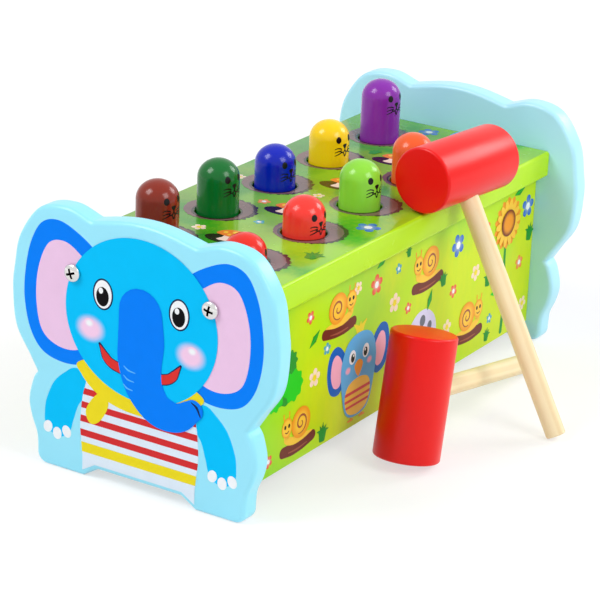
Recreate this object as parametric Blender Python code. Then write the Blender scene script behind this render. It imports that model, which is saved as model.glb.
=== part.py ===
"""Hammer peg toy: a pounding bench with captive pegs and two wooden mallets.

A top board and two side boards stand between two shaped end panels. A rod
runs the length of the bench inside and carries a see-saw rocker under each
pair of pegs, so a peg that is knocked down lifts its partner. One mallet
leans on the board's edge and the other lies on the floor.

Lengths are in metres. X runs across the bench, Y along it and Z is up.
"""

import math

import bmesh
import bpy
from mathutils import Euler, Vector

# Clearances and mesh fineness
FIT_GAP = 0.0003
CUT_OVERRUN = 0.002
PEG_SIDES = 20
HOLE_SIDES = 24
BAR_SIDES = 16
PIN_SIDES = 12
HEAD_SIDES = 28
DOME_STEPS = 4
EDGE_STEPS = 2
CURVE_STEPS = 2

# End panels
BENCH_LENGTH = 0.260
PANEL_THICKNESS = 0.0100
PANEL_HALF_WIDTH = 0.0651
PANEL_HEIGHT = 0.1149
PANEL_EDGE_RADIUS = 0.0020
FOOT_CORNER_RADIUS = 0.0050
RECESS_HALF_WIDTH = 0.0208
RECESS_SLANT = 0.0072
RECESS_HEIGHT = 0.0044

# Outline of a panel's right half, as shares of its half width and height
HIP_SHARES = (
    (0.795, 0.065),
    (0.804, 0.114),
    (0.846, 0.174),
    (0.866, 0.240),
    (0.834, 0.318),
    (0.800, 0.350),
)
EAR_SHARES = (
    (0.800, 0.350),
    (0.862, 0.406),
    (0.971, 0.507),
    (1.000, 0.643),
    (0.985, 0.736),
    (0.940, 0.854),
    (0.790, 0.969),
    (0.580, 0.996),
    (0.388, 0.966),
)
CROWN_STEPS = 6

# Top board, whose width follows from what it covers
BOARD_THICKNESS = 0.0118
BOARD_TOP_HEIGHT = 0.0937
BOARD_TOP_EDGE_RADIUS = 0.0015
BOARD_UNDER_EDGE_RADIUS = 0.0010

# Side boards and their dowel pins
SIDE_BOARD_THICKNESS = 0.0080
SIDE_BOARD_INSET = 0.0056
SIDE_BOARD_CLEARANCE = 0.0038
SIDE_BOARD_FLOOR_GAP = 0.0084
SIDE_BOARD_CHAMFER = 0.0010
DOWEL_RADIUS = 0.0030
DOWEL_DEPTH_IN_PANEL = 0.0060
DOWEL_DEPTH_IN_BOARD = 0.0140
DOWEL_EDGE_DISTANCE = 0.0165

# Pegs and their places
STATION_FROM_FRONT = 0.0306
STATION_FROM_BACK = 0.0326
PEG_RADIUS = 0.0090
PEG_DOME_HEIGHT = 0.0082
PEG_STROKE = 0.0090
PEG_HOLE_CLEARANCE = 0.0008
PEG_COLLAR_LIP = 0.0012
PEG_COLLAR_THICKNESS = 0.0040
PEG_FOOT_RADIUS = 0.0050
PEG_FOOT_NECK = 0.0030
PEG_MEAN_HEIGHT = 0.01963
PEG_HUB_CLEARANCE = 0.0026

# Left and right peg of each pair, front to back, with how far the left one
# is lifted as a share of the stroke, and the pair's share of the mean height
PEG_PAIR_SHARES = (
    ("brown", "red", 0.751, 0.952),
    ("dark_green", "coral", 0.403, 1.003),
    ("blue", "lime", -0.111, 1.001),
    ("yellow", "orange", -0.139, 1.044),
    ("purple", "sky_blue", 0.950, 1.000),
)

# Rod, rockers and spacers
ROD_RADIUS = 0.0040
ROD_DEPTH_IN_PANEL = 0.0060
ROCKER_SLACK = 0.0005
ROCKER_ARM_THICKNESS = 0.0070
ROCKER_HUB_WALL = 0.0037
ROCKER_OVERHANG = 0.0090
ROCKER_WIDTH = 0.0200
ROCKER_TIP_RADIUS = 0.0025
HUB_STEPS = 8
SPACER_WALL = 0.0022

# Panel screws
SCREW_FROM_AXIS = 0.0334
SCREW_SHANK_RADIUS = 0.00175
SCREW_LENGTH = 0.0280
SCREW_TIP_LENGTH = 0.0040
SCREW_HEAD_RADIUS = 0.00375
SCREW_HEAD_HEIGHT = 0.0022
SCREW_RIM_HEIGHT = 0.0008
CROSS_LENGTH = 0.0044
CROSS_WIDTH = 0.0011
CROSS_DEPTH = 0.0013

# Mallets
MALLET_HEAD_RADIUS = 0.01436
MALLET_HEAD_LENGTH = 0.0542
MALLET_HEAD_EDGE_RADIUS = 0.0012
HANDLE_RADIUS = 0.00436
HANDLE_REACH = 0.1084
HANDLE_SOCKET_DEPTH = 0.0180
HANDLE_END_CHAMFER = 0.0008
LEANING_PITCH = math.radians(-1.6)
LEANING_TURN = math.radians(-4.1)
LEANING_CONTACT = math.radians(8)
LEANING_HANDLE_CLEARANCE = 0.0010
SHALLOWEST_SLOPE = math.radians(80)
LEANING_FROM_FRONT = 0.1612
FLOOR_TURN = math.radians(3.5)
FLOOR_FROM_BOARD_EDGE = 0.0219
FLOOR_FROM_FRONT = 0.0973
BISECTION_STEPS = 30
CONTACT_STEPS = 4

# Colours and finishes
PANEL_BLUE = (0.31, 0.81, 0.98)
BOARD_GREEN = (0.13, 0.35, 0.02)
SIDE_GREEN = (0.40, 0.68, 0.03)
PALE_WOOD = (0.80, 0.62, 0.36)
BARE_WOOD = (0.62, 0.42, 0.22)
MALLET_RED = (0.80, 0.02, 0.01)
STEEL_GREY = (0.62, 0.62, 0.60)
PAINT_ROUGHNESS = 0.32
WOOD_ROUGHNESS = 0.55
STEEL_ROUGHNESS = 0.28
PEG_COLOURS = {
    "brown": (0.27, 0.02, 0.01),
    "dark_green": (0.0, 0.17, 0.03),
    "blue": (0.003, 0.02, 0.48),
    "yellow": (0.96, 0.55, 0.01),
    "purple": (0.20, 0.02, 0.31),
    "red": (0.84, 0.02, 0.01),
    "coral": (0.84, 0.045, 0.045),
    "lime": (0.22, 0.62, 0.06),
    "orange": (0.91, 0.13, 0.025),
    "sky_blue": (0.02, 0.36, 0.78),
}

# Places that follow from the sizes above
BOARD_UNDERSIDE = BOARD_TOP_HEIGHT - BOARD_THICKNESS
BOARD_MIDDLE = BOARD_TOP_HEIGHT - BOARD_THICKNESS / 2
PEG_HOLE_RADIUS = PEG_RADIUS + PEG_HOLE_CLEARANCE
PEG_COLLAR_RADIUS = PEG_HOLE_RADIUS + PEG_COLLAR_LIP
COLLAR_TOP = PEG_FOOT_NECK + PEG_COLLAR_THICKNESS
PIVOT_HEIGHT = BOARD_UNDERSIDE - FIT_GAP - PEG_STROKE - COLLAR_TOP - ROCKER_SLACK
ROD_HOLE_RADIUS = ROD_RADIUS + FIT_GAP
ROCKER_HUB_RADIUS = ROD_HOLE_RADIUS + ROCKER_HUB_WALL
ROW_HALF_SPACING = ROCKER_HUB_RADIUS + PEG_HUB_CLEARANCE + PEG_COLLAR_RADIUS
SIDE_BOARD_INNER = ROW_HALF_SPACING + PEG_COLLAR_RADIUS + SIDE_BOARD_CLEARANCE
SIDE_BOARD_MIDDLE = SIDE_BOARD_INNER + SIDE_BOARD_THICKNESS / 2
BOARD_HALF_WIDTH = SIDE_BOARD_INNER + SIDE_BOARD_THICKNESS + SIDE_BOARD_INSET
SIDE_BOARD_TOP = BOARD_UNDERSIDE - FIT_GAP
INNER_FRONT = PANEL_THICKNESS
INNER_BACK = BENCH_LENGTH - PANEL_THICKNESS
FIRST_STATION = INNER_FRONT + STATION_FROM_FRONT
LAST_STATION = INNER_BACK - STATION_FROM_BACK
STATION_PITCH = (LAST_STATION - FIRST_STATION) / (len(PEG_PAIR_SHARES) - 1)
TILT_PER_METRE = math.atan2(PEG_STROKE, ROW_HALF_SPACING) / PEG_STROKE


def station_y(index):
    """Distance of a peg station from the front panel's outer face."""
    return FIRST_STATION + index * STATION_PITCH


def clear_scene():
    """Remove what the scene holds."""
    for item in list(bpy.data.objects):
        bpy.data.objects.remove(item, do_unlink=True)


def paint(name, colour, roughness, metallic=0.0):
    """A plain Principled material."""
    material = bpy.data.materials.new(name)
    material.use_nodes = True
    shader = material.node_tree.nodes["Principled BSDF"]
    shader.inputs["Base Color"].default_value = (*colour, 1.0)
    shader.inputs["Roughness"].default_value = roughness
    shader.inputs["Metallic"].default_value = metallic
    return material


def empty(name, parent=None):
    """An empty that carries other objects."""
    item = bpy.data.objects.new(name, None)
    bpy.context.scene.collection.objects.link(item)
    item.parent = parent
    return item


def add_object(name, mesh, parent, material=None, location=(0, 0, 0), rotation=(0, 0, 0)):
    """Link a mesh to the scene under its parent."""
    item = bpy.data.objects.new(name, mesh)
    bpy.context.scene.collection.objects.link(item)
    item.parent = parent
    item.location = location
    item.rotation_euler = rotation
    if material is not None:
        mesh.materials.append(material)
    return item


def finish_mesh(name, bm):
    """Turn a closed bmesh into a mesh with outward faces."""
    bmesh.ops.recalc_face_normals(bm, faces=bm.faces)
    mesh = bpy.data.meshes.new(name)
    bm.to_mesh(mesh)
    bm.free()
    mesh.shade_smooth()
    mesh.set_sharp_from_angle(angle=math.radians(35))
    return mesh


def band_faces(bm, low, high):
    """Close the band between two rings of as many vertices."""
    count = len(low)
    for i in range(count):
        j = (i + 1) % count
        bm.faces.new((low[i], low[j], high[j], high[i]))


def turned_mesh(name, profile, sides):
    """A closed turned body about Z.

    The profile is a list of (radius, height) from one pole to the other.
    """
    bm = bmesh.new()
    rings = []
    for radius, height in profile[1:-1]:
        ring = []
        for i in range(sides):
            angle = math.tau * i / sides
            ring.append(bm.verts.new((radius * math.cos(angle), radius * math.sin(angle), height)))
        rings.append(ring)
    for low, high in zip(rings, rings[1:]):
        band_faces(bm, low, high)
    for pole, ring in ((profile[0], rings[0]), (profile[-1], rings[-1])):
        tip = bm.verts.new((0, 0, pole[1]))
        for i in range(sides):
            bm.faces.new((tip, ring[i], ring[(i + 1) % sides]))
    return finish_mesh(name, bm)


def tube_mesh(name, inner, outer, low, high, sides):
    """A closed tube about Z."""
    bm = bmesh.new()
    rings = []
    for radius, height in ((inner, low), (outer, low), (outer, high), (inner, high)):
        ring = []
        for i in range(sides):
            angle = math.tau * i / sides
            ring.append(bm.verts.new((radius * math.cos(angle), radius * math.sin(angle), height)))
        rings.append(ring)
    for i in range(len(rings)):
        band_faces(bm, rings[i], rings[(i + 1) % len(rings)])
    return finish_mesh(name, bm)


def slab_mesh(name, loops):
    """A closed body from a stack of like outlines, each a list of points."""
    bm = bmesh.new()
    rings = [[bm.verts.new(point) for point in loop] for loop in loops]
    for low, high in zip(rings, rings[1:]):
        band_faces(bm, low, high)
    bm.faces.new(rings[0])
    bm.faces.new(rings[-1])
    return finish_mesh(name, bm)


def prism_mesh(name, outline, front, back):
    """An outline in X and Z drawn out along Y."""
    loops = [[(x, y, z) for x, z in outline] for y in (front, back)]
    return slab_mesh(name, loops)


def arc(centre, radius, start, end, steps):
    """Points on a round stretch of an outline, ends included."""
    points = []
    for i in range(steps + 1):
        angle = start + (end - start) * i / steps
        points.append((centre[0] + radius * math.cos(angle), centre[1] + radius * math.sin(angle)))
    return points


def curve_through(knots, steps):
    """Points of a smooth curve through the knots, both ends included."""
    first = tuple(2 * a - b for a, b in zip(knots[0], knots[1]))
    last = tuple(2 * a - b for a, b in zip(knots[-1], knots[-2]))
    padded = [first, *knots, last]
    points = []
    for p0, p1, p2, p3 in zip(padded, padded[1:], padded[2:], padded[3:]):
        for i in range(steps):
            t = i / steps
            points.append(tuple(
                b + (c - a) * t / 2
                + (2 * a - 5 * b + 4 * c - d) * t * t / 2
                + (3 * b - a - 3 * c + d) * t ** 3 / 2
                for a, b, c, d in zip(p0, p1, p2, p3)
            ))
    points.append(tuple(knots[-1]))
    return points


def inset_outline(outline, distance):
    """Move each point of a closed outline inwards, square to its edges."""
    count = len(outline)
    moved = []
    for i in range(count):
        before = Vector(outline[i]) - Vector(outline[i - 1])
        after = Vector(outline[(i + 1) % count]) - Vector(outline[i])
        normal_1 = Vector((-before.y, before.x)).normalized()
        normal_2 = Vector((-after.y, after.x)).normalized()
        shift = (normal_1 + normal_2) * distance / (1 + normal_1.dot(normal_2))
        moved.append((outline[i][0] + shift.x, outline[i][1] + shift.y))
    return moved


def cutter(name, meshes, parent):
    """Hidden cutting bodies joined in one object."""
    bm = bmesh.new()
    for mesh, place in meshes:
        part = bmesh.new()
        part.from_mesh(mesh)
        part.transform(place)
        scratch = bpy.data.meshes.new(name)
        part.to_mesh(scratch)
        part.free()
        bm.from_mesh(scratch)
        bpy.data.meshes.remove(scratch)
    item = add_object(name, finish_mesh(name, bm), parent)
    item.hide_render = True
    item.hide_set(True)
    item.display_type = "WIRE"
    return item


def cut(item, tool):
    """Take the tool's bodies out of an object."""
    modifier = item.modifiers.new("cut_" + tool.name, "BOOLEAN")
    modifier.operation = "DIFFERENCE"
    modifier.solver = "EXACT"
    modifier.object = tool


def bar_mesh(name, radius, low, high, sides):
    """A plain round bar about Z."""
    return turned_mesh(name, [(0, low), (radius, low), (radius, high), (0, high)], sides)


def along_y(x, y, z):
    """Placement that turns a body about Z to lie along Y."""
    matrix = Euler((math.radians(-90), 0, 0)).to_matrix().to_4x4()
    matrix.translation = (x, y, z)
    return matrix


def upright(x, y, z):
    """Placement that keeps a body about Z upright."""
    matrix = Euler((0, 0, 0)).to_matrix().to_4x4()
    matrix.translation = (x, y, z)
    return matrix


def half_outline():
    """Right half of a panel, from the recess round to the crown's middle."""
    hip = [(x * PANEL_HALF_WIDTH, z * PANEL_HEIGHT) for x, z in HIP_SHARES]
    ear = [(x * PANEL_HALF_WIDTH, z * PANEL_HEIGHT) for x, z in EAR_SHARES]
    corner = (hip[0][0] - FOOT_CORNER_RADIUS, FOOT_CORNER_RADIUS)
    points = [(RECESS_HALF_WIDTH, RECESS_HEIGHT), (RECESS_HALF_WIDTH + RECESS_SLANT, 0)]
    points += arc(corner, FOOT_CORNER_RADIUS, math.radians(-90), 0, EDGE_STEPS + 1)
    points += curve_through(hip, CURVE_STEPS)
    points += curve_through(ear, CURVE_STEPS)[1:]
    notch_x, notch_z = ear[-1]
    for i in range(1, CROWN_STEPS + 1):
        share = 1 - i / CROWN_STEPS
        rise = (PANEL_HEIGHT - notch_z) * math.cos(math.pi / 2 * share)
        points.append((notch_x * share, notch_z + rise))
    return points


def panel_outline():
    """Closed outline of a panel, anticlockwise as seen from the front."""
    right = half_outline()
    left = [(-x, z) for x, z in reversed(right[:-1])]
    return right + left


def panel_mesh(name):
    """A panel with round edges, its outer face at Y 0 and its inner face behind."""
    outline = panel_outline()
    loops = []
    for i in range(EDGE_STEPS + 1):
        angle = math.pi / 2 * i / EDGE_STEPS
        inset = PANEL_EDGE_RADIUS * (1 - math.sin(angle))
        depth = PANEL_EDGE_RADIUS * (1 - math.cos(angle))
        loops.append((inset, depth))
    stack = loops + [(inset, PANEL_THICKNESS - depth) for inset, depth in reversed(loops)]
    rings = []
    for inset, depth in stack:
        rings.append([(x, depth, z) for x, z in inset_outline(outline, inset)])
    return slab_mesh(name, rings)


def build_panel(name, side, root):
    """An end panel with its screw holes, rod socket and dowel sockets."""
    front = side < 0
    outer = 0 if front else BENCH_LENGTH
    inner = INNER_FRONT if front else INNER_BACK
    turn = 0 if front else math.pi
    panel = add_object(name, panel_mesh(name), root, paint(name, PANEL_BLUE, PAINT_ROUGHNESS),
                       (0, outer, 0), (0, 0, turn))
    inward = 1 if front else -1
    tools = []
    for x in (-SCREW_FROM_AXIS, SCREW_FROM_AXIS):
        reach = PANEL_THICKNESS / 2 + CUT_OVERRUN
        hole = bar_mesh("screw_hole", SCREW_SHANK_RADIUS + FIT_GAP, -reach, reach, PIN_SIDES)
        tools.append((hole, along_y(x, (outer + inner) / 2, BOARD_MIDDLE)))
    sockets = [(0, PIVOT_HEIGHT, ROD_HOLE_RADIUS, ROD_DEPTH_IN_PANEL, BAR_SIDES)]
    for x in (-SIDE_BOARD_MIDDLE, SIDE_BOARD_MIDDLE):
        for z in dowel_heights():
            sockets.append((x, z, DOWEL_RADIUS + FIT_GAP, DOWEL_DEPTH_IN_PANEL, PIN_SIDES))
    for x, z, radius, depth, sides in sockets:
        ends = sorted((inner - inward * depth, inner + inward * CUT_OVERRUN))
        hole = bar_mesh("socket", radius, ends[0], ends[1], sides)
        tools.append((hole, along_y(x, 0, z)))
    cut(panel, cutter(name + "_cutter", tools, root))
    return panel


def board_outline():
    """Section of the top board, with round long edges."""
    top = BOARD_TOP_EDGE_RADIUS
    under = BOARD_UNDER_EDGE_RADIUS
    right = arc((BOARD_HALF_WIDTH - under, BOARD_UNDERSIDE + under), under,
                math.radians(-90), 0, EDGE_STEPS)
    right += arc((BOARD_HALF_WIDTH - top, BOARD_TOP_HEIGHT - top), top,
                 0, math.radians(90), EDGE_STEPS + 2)
    left = [(-x, z) for x, z in reversed(right)]
    return right + left


def build_top_board(root):
    """The top board with its peg holes and the screws' pilot holes."""
    board = add_object(
        "top_board",
        prism_mesh("top_board", board_outline(), INNER_FRONT + FIT_GAP, INNER_BACK - FIT_GAP),
        root, paint("top_board", BOARD_GREEN, PAINT_ROUGHNESS))
    tools = []
    for index in range(len(PEG_PAIR_SHARES)):
        for x in (-ROW_HALF_SPACING, ROW_HALF_SPACING):
            hole = bar_mesh("peg_hole", PEG_HOLE_RADIUS, BOARD_UNDERSIDE - CUT_OVERRUN,
                            BOARD_TOP_HEIGHT + CUT_OVERRUN, HOLE_SIDES)
            tools.append((hole, upright(x, station_y(index), 0)))
    pilot = SCREW_LENGTH - PANEL_THICKNESS + FIT_GAP
    for x in (-SCREW_FROM_AXIS, SCREW_FROM_AXIS):
        for low, high in ((INNER_FRONT - CUT_OVERRUN, INNER_FRONT + pilot),
                          (INNER_BACK - pilot, INNER_BACK + CUT_OVERRUN)):
            hole = bar_mesh("pilot_hole", SCREW_SHANK_RADIUS + FIT_GAP, low, high, PIN_SIDES)
            tools.append((hole, along_y(x, 0, BOARD_MIDDLE)))
    cut(board, cutter("top_board_cutter", tools, root))


def dowel_heights():
    """Heights of the two dowel pins at each end of a side board."""
    return (SIDE_BOARD_FLOOR_GAP + DOWEL_EDGE_DISTANCE, SIDE_BOARD_TOP - DOWEL_EDGE_DISTANCE)


def build_side_board(name, side, root):
    """A side board under the top board's edge, with its dowel holes."""
    middle = side * SIDE_BOARD_MIDDLE
    half = SIDE_BOARD_THICKNESS / 2
    low = SIDE_BOARD_FLOOR_GAP
    chamfer = SIDE_BOARD_CHAMFER
    outline = [
        (middle - half + chamfer, low),
        (middle + half - chamfer, low),
        (middle + half, low + chamfer),
        (middle + half, SIDE_BOARD_TOP),
        (middle - half, SIDE_BOARD_TOP),
        (middle - half, low + chamfer),
    ]
    board = add_object(
        name, prism_mesh(name, outline, INNER_FRONT + FIT_GAP, INNER_BACK - FIT_GAP),
        root, paint(name, SIDE_GREEN, PAINT_ROUGHNESS))
    tools = []
    depth = DOWEL_DEPTH_IN_BOARD
    for z in dowel_heights():
        for start, end in ((INNER_FRONT - CUT_OVERRUN, INNER_FRONT + depth),
                           (INNER_BACK - depth, INNER_BACK + CUT_OVERRUN)):
            hole = bar_mesh("dowel_hole", DOWEL_RADIUS + FIT_GAP, start, end, PIN_SIDES)
            tools.append((hole, along_y(middle, 0, z)))
    cut(board, cutter(name + "_cutter", tools, root))


def build_dowels(root):
    """The pins that join the side boards to the panels."""
    number = 0
    for x in (-SIDE_BOARD_MIDDLE, SIDE_BOARD_MIDDLE):
        for z in dowel_heights():
            for inner, inward in ((INNER_FRONT, 1), (INNER_BACK, -1)):
                number += 1
                name = f"dowel_pin_{number}"
                ends = sorted((inner - inward * (DOWEL_DEPTH_IN_PANEL - FIT_GAP),
                               inner + inward * (DOWEL_DEPTH_IN_BOARD - FIT_GAP)))
                half = (ends[1] - ends[0]) / 2
                add_object(name, bar_mesh(name, DOWEL_RADIUS, -half, half, PIN_SIDES), root,
                           paint(name, PALE_WOOD, WOOD_ROUGHNESS),
                           (x, (ends[0] + ends[1]) / 2, z), (math.radians(-90), 0, 0))


def build_screws(root):
    """Pan-head cross screws through the panels into the board's ends."""
    rim = FIT_GAP + SCREW_RIM_HEIGHT
    top = FIT_GAP + SCREW_HEAD_HEIGHT
    profile = [(0, top)]
    for i in range(1, DOME_STEPS + 1):
        angle = math.pi / 2 * i / DOME_STEPS
        profile.append((SCREW_HEAD_RADIUS * math.sin(angle), rim + (top - rim) * math.cos(angle)))
    profile += [
        (SCREW_HEAD_RADIUS, FIT_GAP),
        (SCREW_SHANK_RADIUS, FIT_GAP),
        (SCREW_SHANK_RADIUS, SCREW_TIP_LENGTH - SCREW_LENGTH),
        (0, -SCREW_LENGTH),
    ]
    half = CROSS_LENGTH / 2
    thin = CROSS_WIDTH / 2
    floor = top - CROSS_DEPTH
    number = 0
    for x in (-SCREW_FROM_AXIS, SCREW_FROM_AXIS):
        for outer, turn in ((0, 90), (BENCH_LENGTH, -90)):
            number += 1
            name = f"panel_screw_{number}"
            screw = add_object(name, turned_mesh(name, profile, PIN_SIDES), root,
                               paint(name, STEEL_GREY, STEEL_ROUGHNESS, 1.0),
                               (x, outer, BOARD_MIDDLE), (math.radians(turn), 0, 0))
            for label, wide, deep in (("across", half, thin), ("upright", thin, half)):
                outline = [(-wide, floor), (wide, floor), (wide, top + CUT_OVERRUN),
                           (-wide, top + CUT_OVERRUN)]
                slot = prism_mesh("slot", outline, -deep, deep)
                tool = cutter(f"{name}_{label}_cutter", [(slot, upright(0, 0, 0))], screw)
                cut(screw, tool)


def peg_profile(mean_height):
    """A turned peg about Z with its foot's centre at 0, from top to foot."""
    top = BOARD_TOP_HEIGHT + mean_height - PIVOT_HEIGHT - ROCKER_SLACK
    shoulder = top - PEG_DOME_HEIGHT
    profile = [(0, top)]
    for i in range(1, DOME_STEPS + 1):
        angle = math.pi / 2 * i / DOME_STEPS
        profile.append((PEG_RADIUS * math.sin(angle), shoulder + PEG_DOME_HEIGHT * math.cos(angle)))
    profile += [
        (PEG_RADIUS, COLLAR_TOP),
        (PEG_COLLAR_RADIUS, COLLAR_TOP),
        (PEG_COLLAR_RADIUS, PEG_FOOT_NECK),
        (PEG_FOOT_RADIUS, PEG_FOOT_NECK),
    ]
    for i in range(EDGE_STEPS + 1):
        angle = math.pi / 2 * i / (EDGE_STEPS + 1)
        profile.append((PEG_FOOT_RADIUS * math.cos(angle), -PEG_FOOT_RADIUS * math.sin(angle)))
    profile.append((0, -PEG_FOOT_RADIUS))
    return profile


def rocker_outline():
    """Side view of a rocker about its pivot.

    The arms' upper face lies one foot radius under the pivot, so both feet
    keep their contact as it swings.
    """
    reach = ROW_HALF_SPACING + ROCKER_OVERHANG
    upper = -PEG_FOOT_RADIUS
    lower = upper - ROCKER_ARM_THICKNESS
    tip = ROCKER_TIP_RADIUS
    start = math.asin(upper / ROCKER_HUB_RADIUS)
    points = arc((reach - tip, lower + tip), tip, math.radians(-90), 0, EDGE_STEPS)
    points += arc((reach - tip, upper - tip), tip, 0, math.radians(90), EDGE_STEPS)
    points += arc((0, 0), ROCKER_HUB_RADIUS, start, math.pi - start, HUB_STEPS)
    points += arc((tip - reach, upper - tip), tip, math.radians(90), math.pi, EDGE_STEPS)
    points += arc((tip - reach, lower + tip), tip, math.pi, math.radians(270), EDGE_STEPS)
    return points


def build_mechanism(root):
    """Pegs in pairs, each pair on a rocker, and the rod with its spacers."""
    half_width = ROCKER_WIDTH / 2
    for index, (left, right, lift_share, height_share) in enumerate(PEG_PAIR_SHARES):
        y = station_y(index)
        lift = lift_share * PEG_STROKE
        mean_height = height_share * PEG_MEAN_HEIGHT
        for x, colour, side in ((-ROW_HALF_SPACING, left, 1), (ROW_HALF_SPACING, right, -1)):
            name = f"peg_{colour}"
            add_object(name, turned_mesh(name, peg_profile(mean_height), PEG_SIDES), root,
                       paint(name, PEG_COLOURS[colour], PAINT_ROUGHNESS),
                       (x, y, PIVOT_HEIGHT + ROCKER_SLACK + side * lift))
        name = f"rocker_{index + 1}"
        rocker = add_object(name, prism_mesh(name, rocker_outline(), -half_width, half_width), root,
                            paint(name, BARE_WOOD, WOOD_ROUGHNESS),
                            (0, y, PIVOT_HEIGHT), (0, lift * TILT_PER_METRE, 0))
        reach = half_width + CUT_OVERRUN
        bore = bar_mesh("bore", ROD_HOLE_RADIUS, -reach, reach, BAR_SIDES)
        cut(rocker, cutter(name + "_cutter", [(bore, along_y(0, 0, 0))], rocker))

    rod_end = ROD_DEPTH_IN_PANEL - FIT_GAP
    half = (INNER_BACK - INNER_FRONT) / 2 + rod_end
    add_object("pivot_rod", bar_mesh("pivot_rod", ROD_RADIUS, -half, half, BAR_SIDES), root,
               paint("pivot_rod", PALE_WOOD, WOOD_ROUGHNESS),
               (0, BENCH_LENGTH / 2, PIVOT_HEIGHT), (math.radians(-90), 0, 0))

    stops = [INNER_FRONT]
    for index in range(len(PEG_PAIR_SHARES)):
        stops += [station_y(index) - half_width, station_y(index) + half_width]
    stops.append(INNER_BACK)
    for number, (low, high) in enumerate(zip(stops[::2], stops[1::2]), start=1):
        name = f"spacer_{number}"
        half = (high - low) / 2 - FIT_GAP
        add_object(name, tube_mesh(name, ROD_HOLE_RADIUS, ROD_HOLE_RADIUS + SPACER_WALL,
                                   -half, half, BAR_SIDES), root,
                   paint(name, BARE_WOOD, WOOD_ROUGHNESS),
                   (0, (low + high) / 2, PIVOT_HEIGHT), (math.radians(-90), 0, 0))


def mallet_head_profile():
    """A mallet head about Z with small round edges."""
    half = MALLET_HEAD_LENGTH / 2
    edge = MALLET_HEAD_EDGE_RADIUS
    upper = arc((MALLET_HEAD_RADIUS - edge, half - edge), edge, math.radians(90), 0, EDGE_STEPS)
    lower = [(radius, -height) for radius, height in reversed(upper)]
    return [(0, half), *upper, *lower, (0, -half)]


def build_mallet(name, root):
    """A mallet on an empty at its head's centre.

    The head lies along the empty's Y and the handle points down its Z.
    """
    pose = empty(name, root)
    head = add_object(name + "_head",
                      turned_mesh(name + "_head", mallet_head_profile(), HEAD_SIDES), pose,
                      paint(name + "_head", MALLET_RED, PAINT_ROUGHNESS),
                      (0, 0, 0), (math.radians(-90), 0, 0))
    seat = HANDLE_SOCKET_DEPTH - MALLET_HEAD_RADIUS
    socket = bar_mesh("socket", HANDLE_RADIUS + FIT_GAP, -MALLET_HEAD_RADIUS - CUT_OVERRUN, seat,
                      BAR_SIDES)
    cut(head, cutter(name + "_cutter", [(socket, upright(0, 0, 0))], pose))
    end = -MALLET_HEAD_RADIUS - HANDLE_REACH
    profile = [
        (0, seat - FIT_GAP),
        (HANDLE_RADIUS, seat - FIT_GAP),
        (HANDLE_RADIUS, end + HANDLE_END_CHAMFER),
        (HANDLE_RADIUS - HANDLE_END_CHAMFER, end),
        (0, end),
    ]
    add_object(name + "_handle", turned_mesh(name + "_handle", profile, BAR_SIDES), pose,
               paint(name + "_handle", PALE_WOOD, WOOD_ROUGHNESS))
    return pose


def lowest_point(pose):
    """Height of a mallet's lowest point in its pose."""
    bpy.context.view_layer.update()
    lowest = math.inf
    for item in pose.children:
        if item.hide_render:
            continue
        for vertex in item.data.vertices:
            lowest = min(lowest, (item.matrix_world @ vertex.co).z)
    return lowest


def clearance_to_board(pose):
    """Gap between a leaning mallet's head and the board's round edge."""
    edge_x = BOARD_HALF_WIDTH - BOARD_TOP_EDGE_RADIUS
    edge_z = BOARD_TOP_HEIGHT - BOARD_TOP_EDGE_RADIUS
    axis = pose.rotation_euler.to_matrix() @ Vector((0, 1, 0))
    offset_x = pose.location.x - edge_x
    offset_z = pose.location.z - edge_z
    along = -(offset_x * axis.x + offset_z * axis.z) / (axis.x ** 2 + axis.z ** 2)
    half = MALLET_HEAD_LENGTH / 2
    along = max(-half, min(half, along))
    distance = math.hypot(offset_x + along * axis.x, offset_z + along * axis.z)
    return distance - MALLET_HEAD_RADIUS - BOARD_TOP_EDGE_RADIUS


def lean_on_board(pose, slope):
    """Rest a mallet's head on the board's edge, its handle sloping by this much.

    A handle too steep to clear the edge pushes the head further round it, and
    once the handle hangs upright, a slope below zero slides the head on down.
    """
    reach = BOARD_TOP_EDGE_RADIUS + MALLET_HEAD_RADIUS
    shaft = BOARD_TOP_EDGE_RADIUS + HANDLE_RADIUS + LEANING_HANDLE_CLEARANCE
    contact = max(LEANING_CONTACT, math.asin(shaft / reach) - slope)
    pose.rotation_euler = (LEANING_PITCH, -max(slope, 0), LEANING_TURN)
    pose.location.x = BOARD_HALF_WIDTH - BOARD_TOP_EDGE_RADIUS + reach * math.sin(contact)
    pose.location.z = BOARD_TOP_HEIGHT - BOARD_TOP_EDGE_RADIUS + reach * math.cos(contact)
    for _ in range(CONTACT_STEPS):
        short = FIT_GAP - clearance_to_board(pose)
        pose.location.x += short * math.sin(contact)
        pose.location.z += short * math.cos(contact)


def build_leaning_mallet(root):
    """The mallet whose handle stands on the floor and head rests on the board."""
    pose = build_mallet("leaning_mallet", root)
    pose.location.y = LEANING_FROM_FRONT
    sunk, clear = -SHALLOWEST_SLOPE, SHALLOWEST_SLOPE
    for _ in range(BISECTION_STEPS):
        slope = (sunk + clear) / 2
        lean_on_board(pose, slope)
        if lowest_point(pose) < 0:
            sunk = slope
        else:
            clear = slope
    lean_on_board(pose, clear)


def build_floor_mallet(root):
    """The mallet that lies on its head's rim and its handle's end."""
    pose = build_mallet("floor_mallet", root)
    tilt = math.atan2(MALLET_HEAD_LENGTH / 2 - HANDLE_RADIUS, HANDLE_REACH)
    pose.rotation_euler = (math.pi / 2 - tilt, 0, FLOOR_TURN)
    pose.location.x = BOARD_HALF_WIDTH + FLOOR_FROM_BOARD_EDGE
    pose.location.y = FLOOR_FROM_FRONT
    pose.location.z -= lowest_point(pose)


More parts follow.
